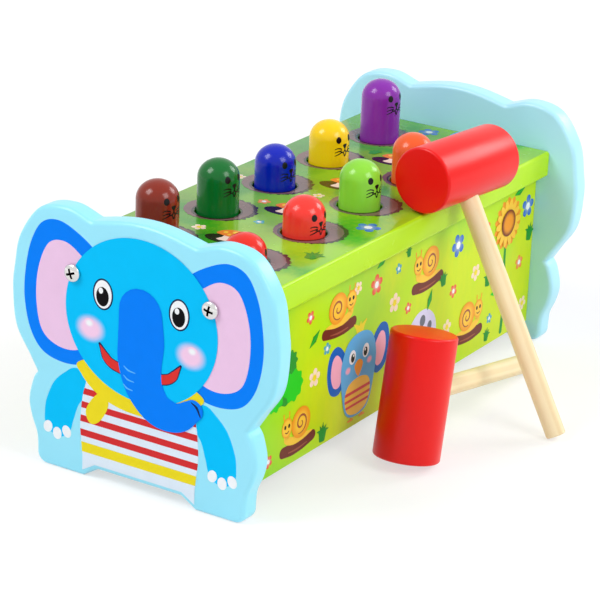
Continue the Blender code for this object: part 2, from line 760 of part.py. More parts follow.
def centre_on_origin(root):
    """Move the whole set so that its box stands centred on the origin."""
    bpy.context.view_layer.update()
    graph = bpy.context.evaluated_depsgraph_get()
    low = Vector((math.inf, math.inf, math.inf))
    high = -low
    for item in bpy.data.objects:
        if item.type != "MESH" or item.hide_render:
            continue
        shown = item.evaluated_get(graph)
        mesh = shown.to_mesh()
        for vertex in mesh.vertices:
            point = shown.matrix_world @ vertex.co
            low = Vector(map(min, low, point))
            high = Vector(map(max, high, point))
        shown.to_mesh_clear()
    middle = (low + high) / 2
    root.location = (-middle.x, -middle.y, -low.z)
    bpy.context.view_layer.update()


def main():
    """Build the bench, its mechanism and both mallets."""
    clear_scene()
    root = empty("toy_origin")
    build_panel("front_panel", -1, root)
    build_panel("back_panel", 1, root)
    build_top_board(root)
    build_side_board("side_board_left", -1, root)
    build_side_board("side_board_right", 1, root)
    build_dowels(root)
    build_screws(root)
    build_mechanism(root)
    build_leaning_mallet(root)
    build_floor_mallet(root)
    centre_on_origin(root)


main()
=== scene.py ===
"""Looks of the hammer peg toy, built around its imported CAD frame.

The printed end panels, the boards, the screws, the pegs and both mallets get
finer meshes and procedural finishes. The rockers, rod, spacers and dowel pins
keep their CAD shapes and get a wood finish. Prints are thin closed shapes of
ink that lie in layers on the painted faces.

Lengths are in metres. Tables of print are in millimetres, and say so.
"""

import logging
import math
import random
from abc import ABC, abstractmethod
from collections.abc import Iterable, Mapping, Sequence
from dataclasses import dataclass, field
from enum import Enum
from typing import ClassVar

import bmesh
import bpy
from mathutils import Matrix, Vector
from mathutils.geometry import intersect_line_line_2d


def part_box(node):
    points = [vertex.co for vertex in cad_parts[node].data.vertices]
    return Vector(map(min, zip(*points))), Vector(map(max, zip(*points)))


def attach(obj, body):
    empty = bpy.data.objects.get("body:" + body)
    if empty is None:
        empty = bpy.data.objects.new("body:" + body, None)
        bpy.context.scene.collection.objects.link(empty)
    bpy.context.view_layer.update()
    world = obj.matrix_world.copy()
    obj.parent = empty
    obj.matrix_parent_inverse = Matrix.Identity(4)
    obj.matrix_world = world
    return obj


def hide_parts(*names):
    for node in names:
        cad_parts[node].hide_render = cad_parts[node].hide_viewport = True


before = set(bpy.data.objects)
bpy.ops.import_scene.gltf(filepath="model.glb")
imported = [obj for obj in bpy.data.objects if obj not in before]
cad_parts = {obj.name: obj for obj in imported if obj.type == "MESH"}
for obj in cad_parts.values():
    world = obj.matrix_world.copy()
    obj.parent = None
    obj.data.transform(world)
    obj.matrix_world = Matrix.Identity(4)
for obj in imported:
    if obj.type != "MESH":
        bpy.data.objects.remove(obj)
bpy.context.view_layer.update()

LOG = logging.getLogger("hammer_peg_toy")

MM = 0.001
LAYER_HEIGHT = 0.00004
LAYER_GAP = 0.00001
MERGE_DISTANCE = 1e-7
INK_ATTRIBUTE = "ink"
GRAIN_ATTRIBUTE = "grain_place"
RADIUS_ATTRIBUTE = "turning_radius"
TURN_ATTRIBUTE = "turn"
SIZE_ATTRIBUTE = "size"
SHIFT_ATTRIBUTE = "outer_shift"
# Marks the floor of the screws' cross recess, which is painted black as shade.
RECESS_SHADE_ATTRIBUTE = "recess"

X_AXIS, Y_AXIS, Z_AXIS = Vector((1, 0, 0)), Vector((0, 1, 0)), Vector((0, 0, 1))

Point2 = tuple[float, float]
Points = tuple[Point2, ...]
Rgb = tuple[float, float, float]
Mesh, Item, Material = bpy.types.Mesh, bpy.types.Object, bpy.types.Material
Socket = bpy.types.NodeSocket
Sockets = Sequence[Socket]
Value = object  # what a node's input takes: a number, a colour, a name or an output


class Ink(Enum):
    """Colours of paint, print and wood, as sRGB levels from 0 to 255."""

    PANEL_BLUE = (152, 231, 252)
    # Painted light: a paler copy of the panel blue, which lightens the whole back panel.
    PANEL_PALE = (178, 236, 255)
    HEAD_CYAN = (0, 194, 252)
    EAR_BLUE = (0, 128, 250)
    EAR_PINK = (238, 200, 232)
    CHEEK_PINK = (246, 206, 236)
    CREASE_BLUE = (96, 190, 250)
    NAVY = (22, 40, 84)
    BLACK = (14, 12, 16)
    WHITE = (244, 247, 250)
    BODY_WHITE = (226, 238, 250)
    STRIPE_RED = (214, 50, 52)
    SCARF_YELLOW = (240, 220, 36)
    SMILE_RED = (222, 54, 50)
    MEADOW_GREEN = (58, 168, 22)
    MEADOW_DEEP = (36, 122, 26)
    MEADOW_LIME = (150, 196, 22)
    MEADOW_PALE = (150, 206, 36)
    SIDE_GREEN = (166, 220, 48)
    SIDE_SHADE = (126, 212, 36)
    SIDE_LIME = (182, 230, 24)
    SIDE_YELLOW = (206, 228, 24)
    SOIL_MAUVE = (116, 82, 84)
    SOIL_DARK = (34, 12, 10)
    LOG_BROWN = (112, 44, 30)
    LOG_LIGHT = (160, 84, 60)
    SNAIL_YELLOW = (250, 202, 62)
    SNAIL_ORANGE = (242, 154, 34)
    BIRD_BLUE = (92, 176, 232)
    BIRD_DEEP = (0, 96, 190)
    BIRD_PINK = (246, 176, 200)
    CAP_LILAC = (214, 210, 244)
    CAP_GREY = (104, 108, 126)
    LEAF_GREEN = (34, 150, 48)
    LEAF_BRIGHT = (30, 204, 36)
    FLOWER_RED = (232, 84, 42)
    FLOWER_ORANGE = (238, 130, 44)
    FLOWER_BLUE = (18, 104, 204)
    FLOWER_TEAL = (30, 160, 186)
    FLOWER_PINK = (250, 222, 206)
    PEG_BROWN = (138, 40, 22)
    PEG_DARK_GREEN = (0, 108, 40)
    PEG_BLUE = (0, 30, 186)
    PEG_YELLOW = (255, 212, 14)
    PEG_PURPLE = (138, 42, 172)
    PEG_RED = (234, 40, 28)
    PEG_CORAL = (255, 60, 52)
    PEG_LIME = (144, 220, 62)
    PEG_ORANGE = (246, 98, 42)
    PEG_SKY_BLUE = (38, 150, 226)
    MALLET_RED = (236, 10, 7)
    WOOD_PALE = (250, 232, 190)
    WOOD_TAN = (234, 204, 152)
    BEECH_LIGHT = (214, 176, 126)
    BEECH_DARK = (180, 136, 88)
    STEEL = (226, 226, 224)
    STEEL_SHADE = (150, 150, 150)

    @property
    def linear(self) -> Rgb:
        """The colour as the linear levels that shaders use."""
        return tuple(srgb_to_linear(level / 255) for level in self.value)


class Kind(Enum):
    """Kinds of named input and output on a node tree."""

    FLOAT = "NodeSocketFloat"
    INTEGER = "NodeSocketInt"
    VECTOR = "NodeSocketVector"
    COLOUR = "NodeSocketColor"
    GEOMETRY = "NodeSocketGeometry"
    MATERIAL = "NodeSocketMaterial"
    OBJECT = "NodeSocketObject"


class GrainAxis(Enum):
    """The way that wood grain runs, with the turn that lays it along Z."""

    ALONG_X = (0.0, math.radians(90), 0.0)
    ALONG_Y = (math.radians(90), 0.0, 0.0)
    ALONG_Z = (0.0, 0.0, 0.0)


def srgb_to_linear(level: float) -> float:
    """Turn one sRGB level, from 0 to 1, into a linear one."""
    return level / 12.92 if level <= 0.04045 else ((level + 0.055) / 1.055) ** 2.4


def mixed(first: Rgb, second: Rgb, share: float) -> Rgb:
    """The first colour with a share of the second one mixed in."""
    return tuple(a + (b - a) * share for a, b in zip(first, second))


def set_down(point: Point2, shift: Point2, turn: float) -> Point2:
    """A point that is turned about zero, in degrees, and then shifted."""
    (u, v), swing = point, math.radians(turn)
    return (shift[0] + u * math.cos(swing) - v * math.sin(swing),
            shift[1] + u * math.sin(swing) + v * math.cos(swing))


def oval(centre: Point2, half_width: float, half_height: float, turn: float = 0.0,
         steps: int = 32) -> list[Point2]:
    """Points round an oval, anticlockwise, with its turn in degrees."""
    angles = [math.tau * i / steps for i in range(steps)]
    return [set_down((half_width * math.cos(a), half_height * math.sin(a)), centre, turn)
            for a in angles]


def arc(centre: Point2, radius: float, start: float, end: float, steps: int) -> list[Point2]:
    """Points on a round stretch of an outline between two angles in degrees, ends included."""
    angles = [math.radians(start + (end - start) * i / steps) for i in range(steps + 1)]
    return [(centre[0] + radius * math.cos(a), centre[1] + radius * math.sin(a)) for a in angles]


def dome(radius: float, base: float, rise: float, steps: int) -> list[Point2]:
    """Radii and heights of a round top, from just off its middle down to its base."""
    angles = [math.pi / 2 * i / steps for i in range(1, steps + 1)]
    return [(radius * math.sin(a), base + rise * math.cos(a)) for a in angles]


def spline_point(before: Point2, start: Point2, end: Point2, after: Point2, t: float) -> Point2:
    """One point of a smooth curve between two knots, with a knot on each side of them."""
    return tuple(
        b + (c - a) * t / 2
        + (2 * a - 5 * b + 4 * c - d) * t * t / 2
        + (3 * b - a - 3 * c + d) * t ** 3 / 2
        for a, b, c, d in zip(before, start, end, after)
    )


def smooth(knots: Sequence[Point2], steps: int = 8, closed: bool = False) -> list[Point2]:
    """Points of a smooth curve through knots.

    Args:
        knots: The knots, in order along the curve.
        steps: Points for each stretch between two knots.
        closed: Whether the curve runs back to its first knot.

    Returns:
        The points, with both ends of an open curve.
    """
    if closed:
        padded = [knots[-1], *knots, knots[0], knots[1]]
    else:
        first = tuple(2 * a - b for a, b in zip(knots[0], knots[1]))
        last = tuple(2 * a - b for a, b in zip(knots[-1], knots[-2]))
        padded = [first, *knots, last]
    points = []
    for i in range(len(padded) - 3):
        points += [spline_point(*padded[i:i + 4], step / steps) for step in range(steps)]
    return points if closed else [*points, tuple(knots[-1])]


def inset_outline(outline: Sequence[Point2], distance: float) -> list[Point2]:
    """Move each edge of a closed anticlockwise outline inwards.

    Args:
        outline: The outline's points.
        distance: How far each edge moves.

    Returns:
        The moved points.
    """
    count = len(outline)
    moved = []
    for i in range(count):
        before = (Vector(outline[i]) - Vector(outline[i - 1])).normalized()
        after = (Vector(outline[(i + 1) % count]) - Vector(outline[i])).normalized()
        normal = Vector((-before.y - after.y, before.x + after.x))
        shift = normal * distance / (1 + before.dot(after))
        moved.append((outline[i][0] + shift.x, outline[i][1] + shift.y))
    return moved


def edges_of(outline: Sequence[Point2]) -> list[tuple[Point2, Point2]]:
    """The straight edges round a closed outline."""
    return list(zip(outline, [*outline[1:], outline[0]]))


def inside(point: Point2, outline: Sequence[Point2]) -> bool:
    """Whether a point is inside a closed outline."""
    u, v = point
    crossings = [u < u0 + (u1 - u0) * (v - v0) / (v1 - v0)
                 for (u0, v0), (u1, v1) in edges_of(outline) if (v0 > v) != (v1 > v)]
    return sum(crossings) % 2 == 1


def cut_band(outline: Sequence[Point2], low: float, high: float, bend: float) -> list[Point2]:
    """The part of a closed outline between two curves that bend alike across it.

    Args:
        outline: The outline's points.
        low: The height of the lower curve in the middle.
        high: The height of the upper curve in the middle.
        bend: How fast both curves rise to the sides.

    Returns:
        The points of the part between the curves.
    """
    kept = list(outline)
    for edge, sign in ((low, 1), (high, -1)):
        source, kept = kept, []
        for (u0, v0), (u1, v1) in edges_of(source):
            inside0 = sign * (v0 - (edge + bend * u0 * u0))
            inside1 = sign * (v1 - (edge + bend * u1 * u1))
            if inside0 >= 0:
                kept.append((u0, v0))
            if (inside0 >= 0) != (inside1 >= 0):
                share = inside0 / (inside0 - inside1)
                kept.append((u0 + (u1 - u0) * share, v0 + (v1 - v0) * share))
    return kept


@dataclass
class InkShape:
    """A flat coloured shape: its points, their colours, its faces and its rim's points."""

    points: list[Point2]
    colours: list[Rgb]
    faces: list[tuple[int, ...]]
    rim: list[int]
    layer: int = 0

    @classmethod
    def plain(cls, outline: Sequence[Point2], ink: Ink) -> "InkShape":
        """A shape of one colour inside an outline."""
        rim = list(range(len(outline)))
        return cls(list(outline), [ink.linear] * len(rim), [tuple(rim)], rim)

    @classmethod
    def shaded(cls, outline: Sequence[Point2], edge: Ink, core: Ink,
               rings: int = 6, core_share: float = 0.25) -> "InkShape":
        """A shape whose colour turns softly from its edge to its core.

        Args:
            outline: The shape's outline, with its middle in sight of every point.
            edge: The colour at the outline.
            core: The colour round the middle.
            rings: Rings of points between the outline and the middle.
            core_share: The size of the evenly coloured core, as a share.

        Returns:
            The shape.
        """
        count = len(outline)
        middle = (sum(u for u, _ in outline) / count, sum(v for _, v in outline) / count)
        points, colours, faces = [], [], []
        for ring in range(rings + 1):
            fade = ring / rings
            scale = 1 - fade * (1 - core_share)
            soft = fade * fade * (3 - 2 * fade)
            points += [(middle[0] + (u - middle[0]) * scale, middle[1] + (v - middle[1]) * scale)
                       for u, v in outline]
            colours += [mixed(edge.linear, core.linear, soft)] * count
        for low in range(0, rings * count, count):
            faces += [(low + i, low + (i + 1) % count, low + count + (i + 1) % count,
                       low + count + i) for i in range(count)]
        last, rim = rings * count, list(range(count))
        faces += [(last + i, last + (i + 1) % count, len(points)) for i in rim]
        return cls([*points, middle], [*colours, core.linear], faces, rim)

    @classmethod
    def stroke(cls, path: Sequence[Point2], widths: Sequence[float], ink: Ink) -> "InkShape":
        """A line of ink with round ends.

        Args:
            path: Points along the line's middle.
            widths: The line's width at even steps along it.
            ink: The line's colour.

        Returns:
            The shape.
        """
        last = len(path) - 1
        left, right = [], []
        for i, (u, v) in enumerate(path):
            before, after = Vector(path[max(i - 1, 0)]), Vector(path[min(i + 1, last)])
            along = (after - before).normalized()
            place = i / last * (len(widths) - 1)
            step = min(int(place), len(widths) - 2)
            half = (widths[step] + (widths[step + 1] - widths[step]) * (place - step)) / 2
            caps = [(0.0, 1.0)]
            if i in (0, last):
                sign = 1 if i else -1
                caps = [(sign * math.sin(a), math.cos(a)) for a in
                        (math.radians(step) for step in range(0, 81, 16))][::sign]
            for forward, aside in caps:
                cu, cv = u + along.x * half * forward, v + along.y * half * forward
                left.append((cu - along.y * half * aside, cv + along.x * half * aside))
                right.append((cu + along.y * half * aside, cv - along.x * half * aside))
        count = len(left)
        faces = [(i, count + i, count + i + 1, i + 1) for i in range(count - 1)]
        rim = list(range(count - 1, -1, -1)) + list(range(count, 2 * count))
        return cls(left + right, [ink.linear] * (2 * count), faces, rim)

    def moved(self, shift: Point2, scale: float = 1.0, turn: float = 0.0,
              flip: bool = False) -> "InkShape":
        """A copy that is scaled, turned in degrees and shifted, and mirrored if asked for."""
        across = -scale if flip else scale
        points = [set_down((u * across, v * scale), shift, turn) for u, v in self.points]
        return InkShape(points, self.colours, self.faces, self.rim)

    def outline(self) -> list[Point2]:
        """The points of the rim, in order."""
        return [self.points[i] for i in self.rim]

    def overlaps(self, other: "InkShape") -> bool:
        """Whether the two shapes share any of the sheet."""
        mine, theirs = self.outline(), other.outline()
        for across in (0, 1):
            one, two = [p[across] for p in mine], [p[across] for p in theirs]
            if min(one) > max(two) or min(two) > max(one):
                return False
        if inside(mine[0], theirs) or inside(theirs[0], mine):
            return True
        return any(intersect_line_line_2d(*edge, *facing)
                   for edge in edges_of(mine) for facing in edges_of(theirs))


def stacked(shapes: Iterable[InkShape]) -> list[InkShape]:
    """The shapes in order of painting, each in the lowest layer over those it overlaps."""
    shapes = list(shapes)
    for i, shape in enumerate(shapes):
        under = [lower.layer for lower in shapes[:i] if shape.overlaps(lower)]
        shape.layer = max(under, default=-1) + 1
    return shapes


@dataclass(frozen=True)
class FlatFace:
    """A flat face, seen from outside, with its zero point and its right and up directions."""

    origin: Vector
    right: Vector
    up: Vector

    @property
    def matrix(self) -> Matrix:
        """The placement that lays the face's own X, Y and Z in the frame."""
        out = self.right.cross(self.up)
        turned = Matrix((self.right, self.up, out)).transposed().to_4x4()
        turned.translation = self.origin
        return turned

    def at(self, u: float, v: float, height: float) -> Vector:
        """The point at a place on the face and a height over it."""
        return self.matrix @ Vector((u, v, height))


@dataclass(frozen=True)
class DomedWall:
    """The upright side of a round body and the dome on it, with the way its print faces."""

    top: Vector
    radius: float
    dome: float
    facing: float

    def at(self, u: float, v: float, height: float) -> Vector:
        """The point at a place round the wall, down from the dome's top, and over it."""
        rise = max(0.0, 1 + v / self.dome)
        reach = self.radius * math.sqrt(1 - min(rise, 1.0) ** 2)
        out = Vector((reach / self.radius ** 2, rise / self.dome)).normalized()
        angle = self.facing + u / self.radius
        reach += height * out.x
        return self.top + Vector((reach * math.cos(angle), reach * math.sin(angle),
                                  v + height * out.y))


def print_mesh(name: str, face: FlatFace | DomedWall, shapes: Iterable[InkShape]) -> Mesh:
    """Lay shapes of ink, drawn in millimetres, as thin closed bodies in layers on a face.

    Args:
        name: The mesh's name.
        face: Where the ink lies.
        shapes: The shapes, already stacked.

    Returns:
        The mesh, with the ink's colours on its points.
    """
    bm = bmesh.new()
    layer = bm.verts.layers.float_color.new(INK_ATTRIBUTE)
    for shape in shapes:
        sides = []
        for height in (shape.layer * LAYER_HEIGHT + LAYER_GAP, (shape.layer + 1) * LAYER_HEIGHT):
            verts = [bm.verts.new(face.at(u * MM, v * MM, height)) for u, v in shape.points]
            for vert, colour in zip(verts, shape.colours):
                vert[layer] = (*colour, 1.0)
            for corners in shape.faces:
                bm.faces.new([verts[i] for i in corners])
            sides.append(verts)
        under, over = sides
        for i, j in zip(shape.rim, shape.rim[1:] + shape.rim[:1]):
            bm.faces.new((under[i], under[j], over[j], over[i]))
    return closed_mesh(name, bm, None)


def filled(mesh: Mesh, bm: bmesh.types.BMesh, crease: float | None) -> Mesh:
    """Fill a mesh with closed bodies and point their faces outwards.

    Args:
        mesh: The mesh to fill.
        bm: The bodies, which are freed.
        crease: The angle in degrees from which an edge stays sharp, or None for all edges.

    Returns:
        The mesh.
    """
    bmesh.ops.recalc_face_normals(bm, faces=bm.faces)
    bm.to_mesh(mesh)
    bm.free()
    if crease is not None:
        mesh.shade_smooth()
        mesh.set_sharp_from_angle(angle=math.radians(crease))
    return mesh


def closed_mesh(name: str, bm: bmesh.types.BMesh, crease: float | None = 35.0) -> Mesh:
    """Turn closed bodies into a new mesh with outward faces."""
    return filled(bpy.data.meshes.new(name), bm, crease)


def outward(mesh: Mesh, crease: float = 35.0) -> Mesh:
    """Merge a mesh's doubles, point its faces outwards and keep its attributes."""
    bm = bmesh.new()
    bm.from_mesh(mesh)
    bmesh.ops.remove_doubles(bm, verts=bm.verts, dist=MERGE_DISTANCE)
    return filled(mesh, bm, crease)


def piece(name: str, mesh: Mesh, material: Material | None = None) -> Item:
    """Link a mesh, already in place, as a piece at the origin.

    Args:
        name: The piece's name.
        mesh: Its mesh.
        material: Its finish, where the mesh has none yet.

    Returns:
        The piece.
    """
    mesh.name = name
    item = bpy.data.objects.new(name, mesh)
    bpy.context.scene.collection.objects.link(item)
    if material is not None:
        mesh.materials.clear()
        mesh.materials.append(material)
    return item


def evaluated(item: Item) -> Mesh:
    """The plain mesh that a piece's modifiers make."""
    graph = bpy.context.evaluated_depsgraph_get()
    return bpy.data.meshes.new_from_object(item.evaluated_get(graph), depsgraph=graph)


def discard(*items: Item) -> None:
    """Take away spent pieces and their meshes."""
    for item in items:
        spent = item.data
        bpy.data.objects.remove(item)
        bpy.data.meshes.remove(spent)


def prism(bm: bmesh.types.BMesh, loops: Sequence[Sequence[Vector]]) -> None:
    """Add a closed body that runs through a stack of like outlines."""
    rings = [[bm.verts.new(point) for point in loop] for loop in loops]
    for low, high in zip(rings, rings[1:]):
        for i in range(len(low)):
            j = (i + 1) % len(low)
            bm.faces.new((low[i], low[j], high[j], high[i]))
    bm.faces.new(rings[0])
    bm.faces.new(rings[-1])


@dataclass(frozen=True)
class Drill:
    """A round cut from one point to another, with a wider mouth where it starts."""

    start: Vector
    end: Vector
    radius: float
    mouth: float = 0.0
    sides: int = 40

    def add_to(self, bm: bmesh.types.BMesh, overrun: float = 0.001) -> None:
        """Add the cut's body, which stands out by the overrun before the cut's start."""
        along = self.end - self.start
        turn = along.to_track_quat("Z", "Y").to_matrix().to_4x4()
        turn.translation = self.start
        profile = [(self.radius, along.length)]
        if self.mouth:
            profile += [(self.radius, self.mouth), (self.radius + self.mouth + overrun, -overrun)]
        else:
            profile += [(self.radius, -overrun)]
        prism(bm, [[turn @ Vector((u, v, height))
                    for u, v in oval((0, 0), radius, radius, steps=self.sides)]
                   for radius, height in profile])


def drilled(name: str, mesh: Mesh, drills: Sequence[Drill]) -> Mesh:
    """Cut round holes in a closed mesh.

    Args:
        name: The name of the cut mesh.
        mesh: The closed mesh, which is used up.
        drills: The cuts, none of which touch each other.

    Returns:
        The mesh with its holes.
    """
    bm = bmesh.new()
    for drill in drills:
        drill.add_to(bm)
    tool = piece(name + ".drills", closed_mesh(name + ".drills", bm, None))
    blank = piece(name + ".blank", mesh)
    modifier = blank.modifiers.new("drill", "BOOLEAN")
    modifier.operation, modifier.solver, modifier.object = "DIFFERENCE", "EXACT", tool
    made = evaluated(blank)
    discard(tool, blank)
    return outward(made)


@dataclass
class Graph:
    """A node tree that is filled by short calls."""

    tree: bpy.types.NodeTree

    def add(self, kind: str, inputs: Mapping[str | int, Value] | None = None,
            **settings: object) -> bpy.types.Node:
        """Add a node.

        Args:
            kind: The node's type.
            inputs: What goes into its sockets, each a number, a colour or an output.
            settings: The node's own settings.

        Returns:
            The node.
        """
        node = self.tree.nodes.new(kind)
        for name, value in settings.items():
            setattr(node, name, value)
        for key, value in (inputs or {}).items():
            self.feed(node.inputs[key], value)
        return node

    def out(self, kind: str, inputs: Mapping[str | int, Value] | None = None,
            **settings: object) -> Socket:
        """The first output of a new node."""
        return self.add(kind, inputs, **settings).outputs[0]

    def feed(self, socket: Socket, value: Value) -> None:
        """Link an output to a socket, or set the socket's own value."""
        if isinstance(value, Socket):
            self.tree.links.new(value, socket)
        elif isinstance(value, tuple) and len(value) == 3 and socket.type == "RGBA":
            socket.default_value = (*value, 1.0)
        else:
            socket.default_value = value

    def maths(self, operation: str, *values: Value) -> Socket:
        """A sum on numbers."""
        return self.out("ShaderNodeMath", dict(enumerate(values)), operation=operation)

    def plus(self, first: Value, second: Value) -> Socket:
        """One number plus another."""
        return self.maths("ADD", first, second)

    def minus(self, first: Value, second: Value) -> Socket:
        """One number less another."""
        return self.maths("SUBTRACT", first, second)

    def times(self, first: Value, second: Value) -> Socket:
        """One number times another."""
        return self.maths("MULTIPLY", first, second)

    def vector(self, operation: str, *values: Value) -> Socket:
        """A sum on vectors."""
        return self.out("ShaderNodeVectorMath", dict(enumerate(values)), operation=operation)

    def scaled(self, vector: Value, factor: Value) -> Socket:
        """A vector or colour times a number."""
        return self.out("ShaderNodeVectorMath", {0: vector, "Scale": factor}, operation="SCALE")

    def length(self, vector: Value) -> Socket:
        """The length of a vector."""
        return self.add("ShaderNodeVectorMath", {0: vector}, operation="LENGTH").outputs["Value"]

    def xyz(self, x: Value = 0.0, y: Value = 0.0, z: Value = 0.0) -> Socket:
        """A vector made of three numbers."""
        return self.out("ShaderNodeCombineXYZ", {0: x, 1: y, 2: z})

    def parts(self, vector: Value) -> bpy.types.NodeOutputs:
        """The three numbers of a vector."""
        return self.add("ShaderNodeSeparateXYZ", {0: vector}).outputs

    def noise(self, vector: Value, scale: Value, detail: float = 2.0,
              roughness: float = 0.5) -> Socket:
        """Soft noise from 0 to 1."""
        return self.out("ShaderNodeTexNoise", {"Vector": vector, "Scale": scale,
                                               "Detail": detail, "Roughness": roughness})

    def ramp(self, value: Value, low: Value, high: Value, start: Value = 0.0,
             end: Value = 1.0) -> Socket:
        """Map a number smoothly from one range to another, and hold it there."""
        inputs = {0: value, 1: low, 2: high, 3: start, 4: end}
        return self.out("ShaderNodeMapRange", inputs, interpolation_type="SMOOTHSTEP")

    def blend(self, share: Value, first: Value, second: Value) -> Socket:
        """Mix two colours by a share."""
        return self.add("ShaderNodeMix", {0: share, 6: first, 7: second},
                        data_type="RGBA").outputs[2]

    def stretch(self, vector: Value, scale: Rgb = (1.0, 1.0, 1.0),
                turn: Rgb = (0.0, 0.0, 0.0)) -> Socket:
        """Turn and scale a pattern's coordinates."""
        turned = self.out("ShaderNodeMapping", {"Vector": vector, "Rotation": turn})
        return self.out("ShaderNodeMapping", {"Vector": turned, "Scale": scale})

    def painted(self, name: str, output: int) -> Socket:
        """A mesh's own attribute in a material, as a colour, a vector or a number."""
        return self.add("ShaderNodeAttribute", attribute_name=name).outputs[output]

    def place(self) -> Socket:
        """The piece's own coordinates in a material."""
        return self.add("ShaderNodeTexCoord").outputs["Object"]

    def read(self, name: str, kind: str = "FLOAT") -> Socket:
        """A field that reads a mesh's own attribute."""
        return self.out("GeometryNodeInputNamedAttribute", {"Name": name}, data_type=kind)

    def store(self, shape: Socket, name: str, value: Value, kind: str = "FLOAT") -> Socket:
        """The shape with an attribute stored on its points."""
        inputs = {"Geometry": shape, "Name": name, "Value": value}
        return self.out("GeometryNodeStoreNamedAttribute", inputs, data_type=kind, domain="POINT")

    def moved(self, shape: Socket, shift: Value, scale: Value = (1.0, 1.0, 1.0)) -> Socket:
        """A shape that is scaled about zero and then moved."""
        return self.out("GeometryNodeTransform",
                        {"Geometry": shape, "Translation": shift, "Scale": scale})

    def spread(self, points: Socket, shape: Socket, angles: Value = (0.0, 0.0, 0.0),
               size: Value = 1.0) -> Socket:
        """Copies of a shape on points, turned by angles and scaled across."""
        turn = self.out("FunctionNodeEulerToRotation", {0: angles})
        return self.out("GeometryNodeInstanceOnPoints", {
            "Points": points, "Instance": shape, "Rotation": turn,
            "Scale": self.xyz(size, size, 1.0)})


@dataclass(frozen=True)
class Named:
    """A named input or output of a node tree, with its first value."""

    name: str
    kind: Kind = Kind.FLOAT
    value: float | int | Rgb | None = None

    def add_to(self, tree: bpy.types.NodeTree, in_out: str) -> None:
        """Make the socket on a tree's interface."""
        socket = tree.interface.new_socket(self.name, in_out=in_out, socket_type=self.kind.value)
        if self.value is not None:
            colour = self.kind is Kind.COLOUR
            socket.default_value = (*self.value, 1.0) if colour else self.value


def number(name: str, value: float) -> Named:
    """A named number."""
    return Named(name, Kind.FLOAT, value)


VECTOR, COLOUR, HEIGHT = Named("Vector", Kind.VECTOR), Named("Colour", Kind.COLOUR), Named("Height")
SHAPE, MATERIAL = Named("Geometry", Kind.GEOMETRY), Named("Material", Kind.MATERIAL)


class NamedTree(ABC):
    """A node tree with named inputs and outputs, built once."""

    kind: ClassVar[str]
    name: ClassVar[str]
    takes: ClassVar[tuple[Named, ...]]
    gives: ClassVar[tuple[Named, ...]]

    def __init__(self) -> None:
        """Build the tree."""
        self.tree = bpy.data.node_groups.new(self.name, self.kind)
        for in_out, sockets in (("INPUT", self.takes), ("OUTPUT", self.gives)):
            for named in sockets:
                named.add_to(self.tree, in_out)
        graph = Graph(self.tree)
        source = graph.add("NodeGroupInput").outputs[:len(self.takes)]
        graph.add("NodeGroupOutput", self.wire(graph, source))

    @abstractmethod
    def wire(self, graph: Graph, takes: Sockets) -> dict[str, Socket]:
        """Build the tree's nodes and return what each output gets."""


class ShaderGroup(NamedTree):
    """An effect that several finishes share, as a shader node group."""

    kind = "ShaderNodeTree"

    def put(self, graph: Graph, **values: Value) -> bpy.types.NodeOutputs:
        """The outputs of the group, put in a material with that material's own values.

        Args:
            graph: The material's nodes.
            **values: What the named inputs get, with _ for a space.

        Returns:
            The group's outputs.
        """
        inputs = {name.replace("_", " ").capitalize(): value for name, value in values.items()}
        return graph.add("ShaderNodeGroup", inputs, node_tree=self.tree).outputs


class PaintMottle(ShaderGroup):
    """Slight unevenness in a colour, as paint and print have."""

    name = "paint_mottle"
    takes = (VECTOR, COLOUR, number("Patch scale", 60.0), number("Depth", 0.05))
    gives = (COLOUR, Named("Mask"))

    def wire(self, graph: Graph, takes: Sockets) -> dict[str, Socket]:
        """Brighten and darken the colour by two sizes of noise."""
        vector, colour, scale, depth = takes
        broad = graph.noise(vector, scale, 3.0)
        fine = graph.noise(vector, graph.times(scale, 14.0), 1.0)
        both = graph.plus(graph.times(broad, 0.7), graph.times(fine, 0.3))
        swing = graph.times(graph.minus(both, 0.5), 2.0)
        factor = graph.plus(graph.times(swing, depth), 1.0)
        return {"Colour": graph.scaled(colour, factor), "Mask": broad}


class WoodGrain(ShaderGroup):
    """Pale wood whose grain runs along Z, with faint year rings and short pores."""

    name = "wood_grain"
    takes = (VECTOR, Named("Light", Kind.COLOUR), Named("Dark", Kind.COLOUR),
             number("Contrast", 0.5))
    gives = (COLOUR, HEIGHT)

    def wire(self, graph: Graph, takes: Sockets) -> dict[str, Socket]:
        """Mix broad streaks, bent rings and fine pores."""
        vector, light, dark, contrast = takes
        streak = graph.noise(graph.stretch(vector, (330.0, 330.0, 14.0)), 1.0, 3.0)
        sway = graph.noise(graph.stretch(vector, (60.0, 60.0, 9.0)), 1.0, 1.0)
        rings = graph.add("ShaderNodeTexWave", {
            "Vector": graph.stretch(vector, (1.0, 0.35, 0.05)), "Scale": 85.0,
            "Distortion": 5.0, "Detail": 2.0, "Detail Scale": 1.2}, wave_type="BANDS",
            bands_direction="X").outputs[1]
        pores = graph.noise(graph.stretch(vector, (2600.0, 2600.0, 130.0)), 1.0, 1.0)
        grain = graph.plus(graph.times(streak, 0.55), graph.times(rings, 0.25))
        grain = graph.plus(grain, graph.times(sway, 0.2))
        shade = graph.times(graph.ramp(grain, 0.36, 0.66), contrast)
        dots = graph.ramp(pores, 0.62, 0.74, 0.0, 0.35)
        share = graph.maths("MINIMUM", graph.plus(shade, graph.times(dots, contrast)), 1.0)
        return {"Colour": graph.blend(share, light, dark), "Height": graph.minus(1.0, dots)}


class FibreRelief(ShaderGroup):
    """The faint relief of wood fibres under a coat of paint, along Z."""

    name = "fibre_relief"
    takes = (VECTOR, number("Fibre scale", 900.0))
    gives = (HEIGHT,)

    def wire(self, graph: Graph, takes: Sockets) -> dict[str, Socket]:
        """Stretch noise along the fibres."""
        vector, scale = takes
        return {"Height": graph.noise(graph.stretch(vector, (1.0, 1.0, 0.05)), scale, 3.0, 0.6)}


